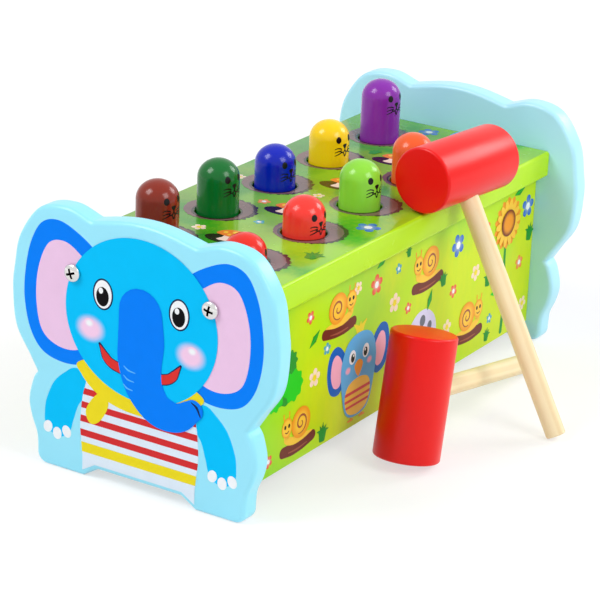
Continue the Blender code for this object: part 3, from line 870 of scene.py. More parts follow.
class MeadowWash(ShaderGroup):
    """Print of a meadow: soft pools of three greens."""

    name = "meadow_wash"
    takes = (VECTOR, Named("Base", Kind.COLOUR), Named("Pool", Kind.COLOUR),
             Named("Glow", Kind.COLOUR), number("Pool scale", 22.0))
    gives = (COLOUR,)

    def wire(self, graph: Graph, takes: Sockets) -> dict[str, Socket]:
        """Lay the pools over the base by noise, with dappled blades in them."""
        vector, base, pool, glow, scale = takes
        pools = graph.ramp(graph.noise(vector, scale, 1.0), 0.42, 0.6)
        shifted = graph.vector("ADD", vector, (0.31, 0.17, 0.23))
        lit = graph.noise(shifted, graph.times(scale, 1.45), 1.0)
        lit = graph.ramp(lit, 0.5, 0.66, 0.0, 0.85)
        blades = graph.noise(graph.stretch(shifted, (320.0, 320.0, 90.0)), 1.0)
        dapple = graph.ramp(blades, 0.4, 0.62, -0.1, 0.1)
        wet = graph.out("ShaderNodeMath", {0: pools, 1: dapple}, operation="ADD", use_clamp=True)
        return {"Colour": graph.blend(lit, graph.blend(wet, base, pool), glow)}


@dataclass
class Job:
    """A material in the making: its nodes, its shader and the shared effects."""

    graph: Graph
    shader: bpy.types.Node
    shop: "Workshop"

    def feed(self, name: str, value: Value) -> None:
        """Set or link one of the shader's inputs."""
        self.graph.feed(self.shader.inputs[name], value)


@dataclass(frozen=True)
class Finish(ABC):
    """A finish of one kind of piece."""

    name: str
    roughness: float = 0.35
    specular: float = 0.3
    coat: float = 0.0
    coat_roughness: float = 0.1
    relief: float = 0.000006
    axis: GrainAxis = GrainAxis.ALONG_Z
    own_grain: bool = False

    def material(self, shop: "Workshop") -> Material:
        """The finish's material, made the first time that it is asked for.

        Args:
            shop: Where the shared effects are.

        Returns:
            The material.
        """
        made = bpy.data.materials.get(self.name)
        if made is None:
            made = bpy.data.materials.new(self.name)
            made.use_nodes = True
            job = Job(Graph(made.node_tree), made.node_tree.nodes["Principled BSDF"], shop)
            for name, value in (("Roughness", self.roughness), ("Coat Weight", self.coat),
                                ("Specular IOR Level", self.specular),
                                ("Coat Roughness", self.coat_roughness)):
                job.feed(name, value)
            self.wire(job)
        return made

    @abstractmethod
    def wire(self, job: Job) -> None:
        """Build the finish's nodes round its shader."""

    def along(self, graph: Graph) -> Socket:
        """Coordinates whose Z runs along the grain."""
        if self.own_grain:
            return graph.painted(GRAIN_ATTRIBUTE, 1)
        return graph.stretch(graph.place(), turn=self.axis.value)

    def colour(self, job: Job, place: Socket, colour: Value, depth: float,
               patch: float = 60.0, swing: float = 0.025) -> None:
        """Set the colour and the roughness, both slightly uneven.

        Args:
            job: The material in the making.
            place: The coordinates of the unevenness.
            colour: The colour.
            depth: How far the colour varies, as a share.
            patch: The scale of the uneven patches.
            swing: How far the roughness varies.
        """
        mottle = job.shop.mottle.put(job.graph, vector=place, colour=colour, depth=depth,
                                     patch_scale=patch)
        job.feed("Base Color", mottle["Colour"])
        self.rough(job, mottle["Mask"], swing)

    def rough(self, job: Job, mask: Socket, swing: float) -> None:
        """Let the roughness vary a little by a mask."""
        job.feed("Roughness", job.graph.ramp(mask, 0.3, 0.7, self.roughness - swing,
                                             self.roughness + swing))

    def bump(self, job: Job, height: Socket, strength: float = 0.5) -> None:
        """Give the surface its fine relief."""
        job.feed("Normal", job.graph.out("ShaderNodeBump", {
            "Height": height, "Distance": self.relief, "Strength": strength}))

    def fibres(self, job: Job, place: Socket, scale: float = 900.0,
               strength: float = 0.5) -> None:
        """Let wood fibres show faintly in relief."""
        fibres = job.shop.fibres.put(job.graph, vector=place, fibre_scale=scale)
        self.bump(job, fibres["Height"], strength)


@dataclass(frozen=True)
class GlossPaint(Finish):
    """Lacquer paint on wood, slightly uneven, with faint fibres under it."""

    ink: Ink = Ink.WHITE
    depth: float = 0.03

    def wire(self, job: Job) -> None:
        """Build the paint's nodes."""
        self.colour(job, job.graph.place(), self.ink.linear, self.depth)
        self.fibres(job, self.along(job.graph))


@dataclass(frozen=True)
class MeadowPrint(Finish):
    """The printed meadow on the top and side boards, under a clear coat; the top board's long edge
    turns lime, partly print and partly a painted highlight.
    """

    axis: GrainAxis = GrainAxis.ALONG_Y
    base: Ink = Ink.MEADOW_GREEN
    pool: Ink = Ink.MEADOW_LIME
    glow: Ink = Ink.MEADOW_PALE
    pool_scale: float = 22.0
    edge_glow: Ink | None = None
    edge_from: float = 0.0
    edge_to: float = 0.0
    shade: Ink = Ink.MEADOW_DEEP
    shade_axis: int = 0
    shade_from: float = 0.0
    shade_to: float = 0.0
    shade_depth: float = 0.5

    def wire(self, job: Job) -> None:
        """Build the print's nodes."""
        graph = job.graph
        place = graph.place()
        colour = job.shop.meadow.put(graph, vector=place, base=self.base.linear,
                                     pool=self.pool.linear, glow=self.glow.linear,
                                     pool_scale=self.pool_scale)["Colour"]
        spots = graph.parts(place)
        shade = graph.ramp(spots[self.shade_axis], self.shade_from, self.shade_to,
                           self.shade_depth, 0.0)
        colour = graph.blend(shade, colour, self.shade.linear)
        # The lime towards the long edge is partly the edge's print and partly a painted highlight
        # on the round edge.
        if self.edge_glow is not None:
            share = graph.ramp(spots[0], self.edge_from, self.edge_to)
            colour = graph.blend(share, colour, self.edge_glow.linear)
            job.feed("Coat Weight", graph.ramp(share, 0.0, 1.0, self.coat, 0.0))
        self.colour(job, place, colour, 0.04, 140.0)
        self.fibres(job, self.along(graph), 700.0)


@dataclass(frozen=True)
class PrintedInk(Finish):
    """Ink whose colours lie on the mesh's points."""

    def wire(self, job: Job) -> None:
        """Build the ink's nodes."""
        place = job.graph.place()
        self.colour(job, place, job.graph.painted(INK_ATTRIBUTE, 0), 0.045, 160.0)
        self.fibres(job, place, 700.0, 0.3)


@dataclass(frozen=True)
class Wood(Finish):
    """Bare wood with its grain along an axis, or along the piece's own grain places."""

    light: Ink = Ink.WOOD_PALE
    dark: Ink = Ink.WOOD_TAN
    contrast: float = 0.6

    def wire(self, job: Job) -> None:
        """Build the wood's nodes."""
        place = self.along(job.graph)
        grain = job.shop.grain.put(job.graph, vector=place, light=self.light.linear,
                                   dark=self.dark.linear, contrast=self.contrast)
        self.colour(job, place, grain["Colour"], 0.05, swing=0.08)
        self.bump(job, grain["Height"])


@dataclass(frozen=True)
class Steel(Finish):
    """Bright plated steel with fine turning marks, and painted shade that turns the floor of the
    cross recess black.
    """

    def wire(self, job: Job) -> None:
        """Build the steel's nodes."""
        graph = job.graph
        marks = graph.noise(graph.stretch(graph.place(), (1.0, 30.0, 1.0)), 800.0)
        colour = graph.blend(graph.times(marks, 0.3), Ink.STEEL.linear, Ink.STEEL_SHADE.linear)
        # Painted shade: the recess floor is blended to black.
        recess_shade = graph.ramp(graph.painted(RECESS_SHADE_ATTRIBUTE, 2), 0.1, 0.6)
        job.feed("Base Color", graph.blend(recess_shade, colour, Ink.BLACK.linear))
        job.feed("Metallic", 1.0)
        self.rough(job, marks, 0.04)
        self.bump(job, marks, 0.1)


def point_mesh(name: str, points: Iterable[Sequence[float]],
               edges: Sequence[tuple[int, int]] = (), **values: Sequence[object]) -> Mesh:
    """A mesh of points with their own attributes.

    Args:
        name: The mesh's name.
        points: Where the points are.
        edges: The pairs of points that are joined.
        **values: What each attribute is at each point, a number or three of them.

    Returns:
        The mesh.
    """
    mesh = bpy.data.meshes.new(name)
    mesh.from_pydata([tuple(point) for point in points], edges, [])
    for key, levels in values.items():
        plain = isinstance(levels[0], (int, float))
        attribute = mesh.attributes.new(key, "FLOAT" if plain else "FLOAT_VECTOR", "POINT")
        flat = levels if plain else [part for level in levels for part in level]
        attribute.data.foreach_set("value" if plain else "vector", flat)
    return mesh


class GeometryTree(NamedTree):
    """A Geometry Nodes tree with named inputs, grown into plain meshes."""

    kind = "GeometryNodeTree"
    gives = (SHAPE,)

    def __init__(self) -> None:
        """Build the tree, with its base and its material among its inputs."""
        self.takes = (SHAPE, *self.takes, MATERIAL)
        super().__init__()

    def wire(self, graph: Graph, takes: Sockets) -> dict[str, Socket]:
        """Make the shape's copies real and give it its material."""
        *takes, material = takes
        whole = graph.out("GeometryNodeRealizeInstances", {0: self.shape(graph, takes)})
        return {"Geometry": graph.out("GeometryNodeSetMaterial", {
            "Geometry": whole, "Material": material})}

    @abstractmethod
    def shape(self, graph: Graph, takes: Sockets) -> Socket:
        """Build the tree's nodes and return the shape."""

    def grow(self, name: str, base: Mesh, crease: float = 35.0, **values: object) -> Mesh:
        """Run the tree on a base mesh.

        Args:
            name: The name of the grown mesh.
            base: The mesh that the tree starts from, which is used up.
            crease: The angle in degrees from which an edge stays sharp.
            **values: What the named inputs get, with _ for a space.

        Returns:
            The grown mesh.
        """
        carrier = piece(name + ".base", base)
        modifier = carrier.modifiers.new(self.name, "NODES")
        modifier.node_group = self.tree
        for item in self.tree.interface.items_tree:
            key = item.name.lower().replace(" ", "_")
            if item.item_type == "SOCKET" and item.in_out == "INPUT" and key in values:
                colour = item.socket_type == Kind.COLOUR.value
                modifier[item.identifier] = (*values[key], 1.0) if colour else values[key]
        made = evaluated(carrier)
        discard(carrier)
        made.name = name
        return outward(made, crease)


class TurnedBody(GeometryTree):
    """A body turned round its own Z from a list of radii and heights."""

    name = "turned_body"
    takes = (Named("Sides", Kind.INTEGER, 48),)

    def shape(self, graph: Graph, takes: Sockets) -> Socket:
        """Sweep a circle along the profile's line, as wide as each point says."""
        line, sides = takes
        line = graph.out("GeometryNodeMeshToCurve", {"Mesh": line})
        circle = graph.out("GeometryNodeCurvePrimitiveCircle", {"Resolution": sides, "Radius": 1.0})
        return graph.out("GeometryNodeCurveToMesh", {
            "Curve": line, "Profile Curve": circle, "Scale": graph.read(RADIUS_ATTRIBUTE),
            "Fill Caps": True})

    def turn(self, name: str, profile: Sequence[Point2], sides: int, material: Material,
             crease: float = 30.0) -> Mesh:
        """Turn a body.

        Args:
            name: The body's name.
            profile: Its radii and heights, from one end to the other.
            sides: The number of sides round it.
            material: Its finish.
            crease: The angle in degrees from which an edge stays sharp.

        Returns:
            The body's mesh.
        """
        line = point_mesh(name + ".line", [(0, 0, height) for _, height in profile],
                          [(i, i + 1) for i in range(len(profile) - 1)],
                          **{RADIUS_ATTRIBUTE: [radius for radius, _ in profile]})
        return self.grow(name, line, crease, sides=sides, material=material)


class MotifScatter(GeometryTree):
    """One motif repeated on points with their own turns and sizes."""

    name = "motif_scatter"
    takes = (Named("Motif", Kind.OBJECT),)

    def shape(self, graph: Graph, takes: Sockets) -> Socket:
        """Put the motif on each point."""
        points, motif = takes
        motif = graph.add("GeometryNodeObjectInfo",
                          {"Object": motif, "As Instance": True}).outputs["Geometry"]
        return graph.spread(points, motif, graph.read(TURN_ATTRIBUTE, "FLOAT_VECTOR"),
                            graph.read(SIZE_ATTRIBUTE))


class FlowerRing(GeometryTree):
    """Printed flowers: petals in a ring round an eye, in the colours of each point."""

    name = "flower_ring"
    takes = (Named("Petals", Kind.INTEGER, 5), number("Layer height", LAYER_HEIGHT),
             number("Gap", LAYER_GAP), number("Petal reach", 0.63), number("Petal length", 0.37),
             number("Petal width", 0.35), number("Eye radius", 0.32))

    def shape(self, graph: Graph, takes: Sockets) -> Socket:
        """Ring the petals round the eye and put the flower on each point."""
        points, petals, layer, gap, reach, long, wide, eye_radius = takes
        thick = graph.minus(layer, gap)
        middle = graph.plus(graph.times(thick, 0.5), gap)
        disc = graph.out("GeometryNodeMeshCylinder",
                         {"Vertices": 20, "Radius": 1.0, "Depth": thick})
        petal = graph.moved(disc, graph.xyz(reach, 0.0, middle), graph.xyz(long, wide, 1.0))
        petal = graph.store(petal, "away", graph.length(graph.out("GeometryNodeInputPosition")))
        ring = graph.out("GeometryNodeMeshCircle", {"Vertices": petals, "Radius": 0.0})
        angle = graph.times(graph.out("GeometryNodeInputIndex"),
                            graph.maths("DIVIDE", math.tau, petals))
        eye = graph.moved(disc, graph.xyz(z=graph.plus(middle, layer)),
                          graph.xyz(eye_radius, eye_radius, 1.0))
        join = graph.add("GeometryNodeJoinGeometry")
        for part in (graph.spread(ring, petal, graph.xyz(z=angle)),
                     graph.store(eye, "is_eye", 1.0)):
            graph.feed(join.inputs[0], part)
        flower = graph.out("GeometryNodeGeometryToInstance", {0: join.outputs[0]})
        flowers = graph.spread(points, flower, graph.read(TURN_ATTRIBUTE, "FLOAT_VECTOR"),
                               graph.read(SIZE_ATTRIBUTE))
        whole = graph.out("GeometryNodeRealizeInstances", {0: flowers})
        tint, heart = (graph.read(name, "FLOAT_VECTOR") for name in ("tint", "heart"))
        shade = graph.blend(graph.ramp(graph.read("away"), 0.3, 0.75),
                            graph.blend(0.35, tint, heart), tint)
        shade = graph.blend(graph.read("is_eye"), shade, heart)
        return graph.store(whole, INK_ATTRIBUTE, shade, "FLOAT_COLOR")


class SoilRing(GeometryTree):
    """Printed rings of soil round holes, with a ragged outer edge that may be off centre."""

    name = "soil_ring"
    takes = (number("Inner radius", 0.0097), number("Outer radius", 0.016),
             number("Ragged", 0.0012), number("Crumb scale", 620.0),
             Named("Layer", Kind.INTEGER, 0), number("Layer height", LAYER_HEIGHT),
             number("Gap", LAYER_GAP), COLOUR)

    def shape(self, graph: Graph, takes: Sockets) -> Socket:
        """Sweep a flat section round each hole and push its outer side about by noise."""
        holes, inner, outer, ragged, crumb_scale, level, layer, gap, colour = takes
        middle = graph.times(graph.plus(inner, outer), 0.5)
        thick = graph.minus(layer, gap)
        circle = graph.out("GeometryNodeCurvePrimitiveCircle",
                           {"Resolution": 120, "Radius": middle})
        section = graph.out("GeometryNodeCurvePrimitiveQuadrilateral",
                            {"Width": graph.minus(outer, inner), "Height": thick})
        band = graph.out("GeometryNodeCurveToMesh", {"Curve": circle, "Profile Curve": section})
        low = graph.plus(graph.times(level, layer), gap)
        band = graph.moved(band, graph.xyz(z=graph.plus(low, graph.times(thick, 0.5))))
        place = graph.out("GeometryNodeInputPosition")
        band = graph.store(band, "own_place", place, "FLOAT_VECTOR")
        whole = graph.out("GeometryNodeRealizeInstances", {0: graph.spread(holes, band)})
        own = graph.vector("MULTIPLY", graph.read("own_place", "FLOAT_VECTOR"), (1.0, 1.0, 0.0))
        outside = graph.maths("GREATER_THAN", graph.length(own), middle)
        flat = graph.vector("MULTIPLY", place, (1.0, 1.0, 0.0))
        crumbs = graph.noise(flat, crumb_scale, 3.0, 0.7)
        swing = graph.times(graph.minus(crumbs, 0.5), 3.2)
        push = graph.times(graph.times(swing, ragged), outside)
        offset = graph.scaled(graph.vector("NORMALIZE", own), push)
        shift = graph.scaled(graph.read(SHIFT_ATTRIBUTE, "FLOAT_VECTOR"), outside)
        torn = graph.out("GeometryNodeSetPosition", {
            "Geometry": whole, "Offset": graph.vector("ADD", offset, shift)})
        return graph.store(torn, INK_ATTRIBUTE, colour, "FLOAT_COLOR")


class ScrewSet(GeometryTree):
    """Screws made from one turned blank by cutting a cross, marking its floor for painted shade and
    placing copies.
    """

    name = "screw_set"
    takes = (Named("Blank", Kind.OBJECT), number("Cross length", 0.0044),
             number("Cross width", 0.0010), number("Cross depth", 0.0013),
             number("Head top", 0.0025), number("Floor band", 0.00003))

    def shape(self, graph: Graph, takes: Sockets) -> Socket:
        """Cut the cross out of the blank, mark its floor for painted shade and put the screw on
        each point.
        """
        points, blank, long, wide, depth, top, floor_band = takes
        blank = graph.add("GeometryNodeObjectInfo", {"Object": blank}).outputs["Geometry"]
        bars = graph.add("GeometryNodeMeshBoolean", operation="UNION", solver="EXACT")
        for along, across in ((long, wide), (wide, long)):
            size = graph.xyz(along, across, graph.times(depth, 2.0))
            graph.feed(bars.inputs["Mesh 2"], graph.out("GeometryNodeMeshCube", {"Size": size}))
        cross = graph.moved(bars.outputs[0], graph.xyz(z=top))
        cut = graph.out("GeometryNodeMeshBoolean", {"Mesh 1": blank, "Mesh 2": cross},
                        operation="DIFFERENCE", solver="EXACT")
        # The points on the cross's floor are marked for painted shade in the steel.
        height = graph.parts(graph.out("GeometryNodeInputPosition"))[2]
        floor = graph.maths("COMPARE", graph.minus(top, height), depth, floor_band)
        cut = graph.store(cut, RECESS_SHADE_ATTRIBUTE, floor)
        return graph.spread(points, cut, graph.read(TURN_ATTRIBUTE, "FLOAT_VECTOR"))


@dataclass
class Workshop:
    """What every sub-assembly works with: the shared effects and trees, each built once."""

    mottle: PaintMottle = field(default_factory=PaintMottle)
    grain: WoodGrain = field(default_factory=WoodGrain)
    fibres: FibreRelief = field(default_factory=FibreRelief)
    meadow: MeadowWash = field(default_factory=MeadowWash)
    turned: TurnedBody = field(default_factory=TurnedBody)
    scatter: MotifScatter = field(default_factory=MotifScatter)
    flowers: FlowerRing = field(default_factory=FlowerRing)
    soil: SoilRing = field(default_factory=SoilRing)
    screws: ScrewSet = field(default_factory=ScrewSet)

    def fit(self, name: str, mesh: Mesh, body: str, slot: str, *nodes: str,
            finish: Finish | None = None) -> None:
        """Make a mesh a piece on its body, in place of its CAD nodes.

        Args:
            name: The piece's name.
            mesh: Its mesh, already in place.
            body: The body that it rides on.
            slot: The record's material slot, which is not used.
            *nodes: The CAD nodes that it stands for.
            finish: Its finish, where the mesh has none yet.
        """
        item = piece(name, mesh, finish.material(self) if finish else None)
        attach(item, body)
        if nodes:
            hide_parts(*nodes)
        LOG.info("%s: %d faces, on %s", item.name, len(item.data.polygons), body)


@dataclass(frozen=True)
class Bench:
    """Sizes and places that the bench's pieces share."""

    panel_thickness: float = 0.0100
    board_half_width: float = 0.0500
    board_top: float = 0.0937
    board_thickness: float = 0.0118
    side_face: float = 0.0444
    side_thickness: float = 0.0080
    gap: float = 0.0003
    screw_from_axis: float = 0.0334
    screw_shank: float = 0.00175
    screw_length: float = 0.0280
    dowel_radius: float = 0.0030
    dowel_in_panel: float = 0.0060
    dowel_in_board: float = 0.0140
    peg_radius: float = 0.0090
    peg_clearance: float = 0.0008
    pivot_height: float = 0.0651
    rod_radius: float = 0.0040
    rod_in_panel: float = 0.0060

    @property
    def middle(self) -> float:
        """The X of the bench's middle."""
        low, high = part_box("front_panel")
        return (low[0] + high[0]) / 2

    @property
    def front(self) -> float:
        """The Y of the front panel's outer face."""
        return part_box("front_panel")[0][1]

    @property
    def back(self) -> float:
        """The Y of the back panel's outer face."""
        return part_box("back_panel")[1][1]

    @property
    def board_middle(self) -> float:
        """The height of the top board's middle."""
        return self.board_top - self.board_thickness / 2

    def spot(self, x: float, y: float, z: float = 0.0) -> Vector:
        """A point, with its X measured from the bench's middle."""
        return Vector((self.middle + x, y, z))

    def front_face(self) -> FlatFace:
        """The front panel's outer face."""
        return FlatFace(self.spot(0, self.front), X_AXIS, Z_AXIS)

    def back_face(self) -> FlatFace:
        """The back panel's outer face."""
        return FlatFace(self.spot(0, self.back), -X_AXIS, Z_AXIS)

    def right_face(self) -> FlatFace:
        """The right side board's outer face."""
        return FlatFace(self.spot(self.side_face, self.front), Y_AXIS, Z_AXIS)

    def left_face(self) -> FlatFace:
        """The left side board's outer face."""
        return FlatFace(self.spot(-self.side_face, self.back), -Y_AXIS, Z_AXIS)

    def top_face(self) -> FlatFace:
        """The top board's upper face."""
        return FlatFace(self.spot(0, self.front, self.board_top), X_AXIS, Y_AXIS)


def centre_of(node: str) -> Vector:
    """The middle of a CAD node's box."""
    low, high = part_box(node)
    return (Vector(low) + Vector(high)) / 2


def keep_grain(mesh: Mesh) -> Mesh:
    """Store each point's present place, so that grain follows the piece when it is turned."""
    places = [part for vertex in mesh.vertices for part in vertex.co]
    attribute = mesh.attributes.new(GRAIN_ATTRIBUTE, "FLOAT_VECTOR", "POINT")
    attribute.data.foreach_set("vector", places)
    return mesh


@dataclass
class EndPanel:
    """An end panel cut to the outline of a sitting elephant, with round edges."""

    name: str
    face: FlatFace
    bench: Bench
    ink: Ink = Ink.PANEL_BLUE
    half_width: float = 0.0651
    height: float = 0.1149
    edge_radius: float = 0.0020
    edge_steps: int = 7
    foot_corner: float = 0.0050
    recess_half_width: float = 0.0208
    recess_slant: float = 0.0072
    recess_height: float = 0.0044
    hip_shares: Points = ((0.795, 0.065), (0.804, 0.114), (0.846, 0.174), (0.866, 0.240),
                          (0.834, 0.318), (0.800, 0.350))
    ear_shares: Points = ((0.800, 0.350), (0.862, 0.406), (0.971, 0.507), (1.000, 0.643),
                          (0.985, 0.736), (0.940, 0.854), (0.790, 0.969), (0.580, 0.996),
                          (0.388, 0.966))
    crown_steps: int = 20
    curve_steps: int = 8
    hole_mouth: float = 0.0004
    hole_sides: int = 32

    def outline(self) -> list[Point2]:
        """The closed outline, anticlockwise from the recess, its left half a mirror image."""
        hip, ear = ([(x * self.half_width, z * self.height) for x, z in shares]
                    for shares in (self.hip_shares, self.ear_shares))
        corner = (hip[0][0] - self.foot_corner, self.foot_corner)
        points = [(self.recess_half_width, self.recess_height),
                  (self.recess_half_width + self.recess_slant, 0.0),
                  *arc(corner, self.foot_corner, -90, 0, self.curve_steps),
                  *smooth(hip, self.curve_steps), *smooth(ear, self.curve_steps)[1:]]
        notch_x, notch_z = ear[-1]
        for i in range(1, self.crown_steps + 1):
            share = 1 - i / self.crown_steps
            rise = (self.height - notch_z) * math.cos(math.pi / 2 * share)
            points.append((notch_x * share, notch_z + rise))
        return points + [(-x, z) for x, z in reversed(points[:-1])]

    def blank(self) -> Mesh:
        """The panel before its holes are drilled."""
        outline, bm = self.outline(), bmesh.new()
        angles = [math.pi / 2 * i / self.edge_steps for i in range(self.edge_steps + 1)]
        loops = [(self.edge_radius * (1 - math.sin(a)), self.edge_radius * (1 - math.cos(a)))
                 for a in angles]
        loops += [(inset, self.bench.panel_thickness - depth)
                  for inset, depth in reversed(loops)]
        prism(bm, [[self.face.at(u, v, -depth) for u, v in inset_outline(outline, inset)]
                   for inset, depth in loops])
        return closed_mesh(self.name, bm)

    def drills(self) -> list[Drill]:
        """The screw holes, the rod's socket and the dowel sockets."""
        bench, thick, cuts = self.bench, self.bench.panel_thickness, []
        for u in (-bench.screw_from_axis, bench.screw_from_axis):
            cuts.append(Drill(self.face.at(u, bench.board_middle, 0),
                              self.face.at(u, bench.board_middle, -2 * thick),
                              bench.screw_shank + bench.gap, self.hole_mouth,
                              self.hole_sides))
        sockets = [(0.0, bench.pivot_height, bench.rod_radius, bench.rod_in_panel)]
        for pin in (1, 3, 5, 7):
            place = centre_of(f"dowel_pin_{pin}")
            sockets.append((place.x - bench.middle, place.z, bench.dowel_radius,
                            bench.dowel_in_panel))
        for u, v, radius, depth in sockets:
            cuts.append(Drill(self.face.at(u, v, -thick), self.face.at(u, v, depth - thick),
                              radius + bench.gap, 0.0, self.hole_sides))
        return cuts

    def build(self, shop: Workshop) -> None:
        """Make the panel's piece."""
        paint = GlossPaint(self.name + "_blue_paint", 0.3, 0.45, relief=0.000001, depth=0.015,
                           ink=self.ink)
        shop.fit(self.name + "_painted", drilled(self.name, self.blank(), self.drills()),
                 "bench", "panel_blue", self.name, finish=paint)


@dataclass
class TopBoard:
    """The top board with round long edges and ten peg holes."""

    bench: Bench
    pegs: Sequence["Peg"]
    top_radius: float = 0.0015
    under_radius: float = 0.0010
    arc_steps: int = 10
    hole_mouth: float = 0.0003
    hole_overrun: float = 0.0020
    hole_sides: int = 64
    shade_reach: float = 0.035

    def outline(self) -> list[Point2]:
        """The board's section, anticlockwise as seen from the front."""
        half, top = self.bench.board_half_width, self.bench.board_top
        under = top - self.bench.board_thickness
        right = arc((half - self.under_radius, under + self.under_radius), self.under_radius,
                    -90, 0, self.arc_steps)
        right += arc((half - self.top_radius, top - self.top_radius), self.top_radius,
                     0, 90, self.arc_steps)
        return right + [(-x, z) for x, z in reversed(right)]

    def drills(self) -> list[Drill]:
        """The peg holes and the screws' pilot holes."""
        bench, cuts = self.bench, []
        under = bench.board_top - bench.board_thickness - self.hole_overrun
        for foot in (peg.foot for peg in self.pegs):
            cuts.append(Drill(Vector((foot.x, foot.y, bench.board_top)),
                              Vector((foot.x, foot.y, under)),
                              bench.peg_radius + bench.peg_clearance, self.hole_mouth,
                              self.hole_sides))
        for face in (bench.front_face(), bench.back_face()):
            for u in (-bench.screw_from_axis, bench.screw_from_axis):
                start, end = (face.at(u, bench.board_middle, -depth - bench.gap)
                              for depth in (bench.panel_thickness, bench.screw_length))
                cuts.append(Drill(start, end, bench.screw_shank + bench.gap))
        return cuts

    def build(self, shop: Workshop) -> None:
        """Make the board's piece."""
        bench, bm = self.bench, bmesh.new()
        ends = (bench.front + bench.panel_thickness + bench.gap,
                bench.back - bench.panel_thickness - bench.gap)
        prism(bm, [[bench.spot(x, y, z) for x, z in self.outline()] for y in ends])
        edge = bench.middle + bench.board_half_width
        # The board's long edge turns lime: partly print, partly a painted highlight on the round
        # edge.
        finish = MeadowPrint("board_meadow_print", 0.25, 0.2, 0.4, 0.05, 0.000002,
                             edge_glow=Ink.SIDE_LIME, edge_from=edge - self.top_radius,
                             edge_to=edge - self.top_radius / 2,
                             shade_from=bench.middle - self.shade_reach,
                             shade_to=bench.middle + self.shade_reach)
        mesh = drilled("top_board", closed_mesh("top_board", bm), self.drills())
        shop.fit("top_board_printed", mesh, "bench", "board_green", "top_board", finish=finish)


@dataclass
class SideBoard:
    """A side board under the top board's edge."""

    name: str
    side: int
    bench: Bench
    chamfer: float = 0.0010
    hole_sides: int = 32
    shade_reach: float = 0.07

    def outline(self) -> list[Point2]:
        """The board's section as X from the bench's middle and height."""
        low, high = (corner[2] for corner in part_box(self.name))
        outer = self.side * self.bench.side_face
        inner = self.side * (self.bench.side_face - self.bench.side_thickness)
        step = self.side * self.chamfer
        return [(inner + step, low), (outer - step, low), (outer, low + self.chamfer),
                (outer, high), (inner, high), (inner, low + self.chamfer)]

    def drills(self) -> list[Drill]:
        """The dowel holes in both ends."""
        bench, cuts = self.bench, []
        for place in (centre_of(f"dowel_pin_{pin}") for pin in range(1, 9)):
            if (place.x - bench.middle) * self.side < 0:
                continue
            wall, inward = (bench.front, 1) if place.y < 0 else (bench.back, -1)
            start, end = (Vector((place.x, wall + inward * (bench.panel_thickness + depth),
                                  place.z)) for depth in (bench.gap, bench.dowel_in_board))
            cuts.append(Drill(start, end, bench.dowel_radius + bench.gap, 0.0, self.hole_sides))
        return cuts

    def build(self, shop: Workshop) -> None:
        """Make the board's piece."""
        bench, bm = self.bench, bmesh.new()
        prism(bm, [[bench.spot(x, corner[1], z) for x, z in self.outline()]
                   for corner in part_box(self.name)])
        finish = MeadowPrint("side_meadow_print", 0.3, 0.15, base=Ink.SIDE_GREEN,
                             pool=Ink.SIDE_YELLOW, glow=Ink.SIDE_LIME, pool_scale=14.0,
                             shade=Ink.SIDE_SHADE, shade_axis=1, shade_from=bench.front,
                             shade_to=bench.front + self.shade_reach, shade_depth=1.0)
        mesh = drilled(self.name, closed_mesh(self.name, bm), self.drills())
        shop.fit(self.name + "_printed", mesh, "bench", "side_green", self.name, finish=finish)


@dataclass
class PanelScrews:
    """The four pan-head cross screws through the panels."""

    bench: Bench
    head_radius: float = 0.00375
    head_height: float = 0.0022
    rim_height: float = 0.0008
    head_steps: int = 10
    seat_edge: float = 0.0001
    seat_step: float = 0.00001
    neck_length: float = 0.0020
    tip_length: float = 0.0040
    thread_turns: int = 16
    thread_depth_share: float = 0.72
    sides: int = 48
    spins: tuple[float, ...] = (20.0, 62.0, -12.0, 35.0)

    def profile(self) -> list[Point2]:
        """Radii and heights of a screw, its head's seat at the face's height."""
        gap, length, shank = self.bench.gap, self.bench.screw_length, self.bench.screw_shank
        top, rim = gap + self.head_height, gap + self.rim_height
        points = [(0.0, top), *dome(self.head_radius, rim, top - rim, self.head_steps),
                  (self.head_radius, gap + self.seat_edge),
                  (self.head_radius - self.seat_edge, gap), (shank, gap - self.seat_step)]
        pitch = (length - self.tip_length - self.neck_length) / self.thread_turns
        for i in range(self.thread_turns):
            height = -self.neck_length - i * pitch
            points += [(shank, height), (shank * self.thread_depth_share, height - pitch / 2)]
        return [*points, (shank, self.tip_length - length), (0.0, -length)]

    def build(self, shop: Workshop) -> None:
        """Make all four screws as one piece."""
        steel = Steel("screw_steel_plated", roughness=0.2).material(shop)
        blank = piece("screw_blank", shop.turned.turn(
            "screw_blank", self.profile(), self.sides, steel, 50.0))
        nodes = [f"panel_screw_{screw}" for screw in (1, 2, 3, 4)]
        points, turns = [], []
        for place, spin in zip(map(centre_of, nodes), self.spins):
            wall, lean = (self.bench.front, 90) if place.y < 0 else (self.bench.back, -90)
            points.append((place.x, wall, place.z))
            turns.append((Matrix.Rotation(math.radians(lean), 3, "X")
                          @ Matrix.Rotation(math.radians(spin), 3, "Z")).to_euler())
        mesh = shop.screws.grow("panel_screws", point_mesh("screw_places", points, turn=turns),
                                40.0, blank=blank, material=steel,
                                head_top=self.bench.gap + self.head_height)
        discard(blank)
        shop.fit("panel_screws", mesh, "bench", "screw_steel", *nodes)


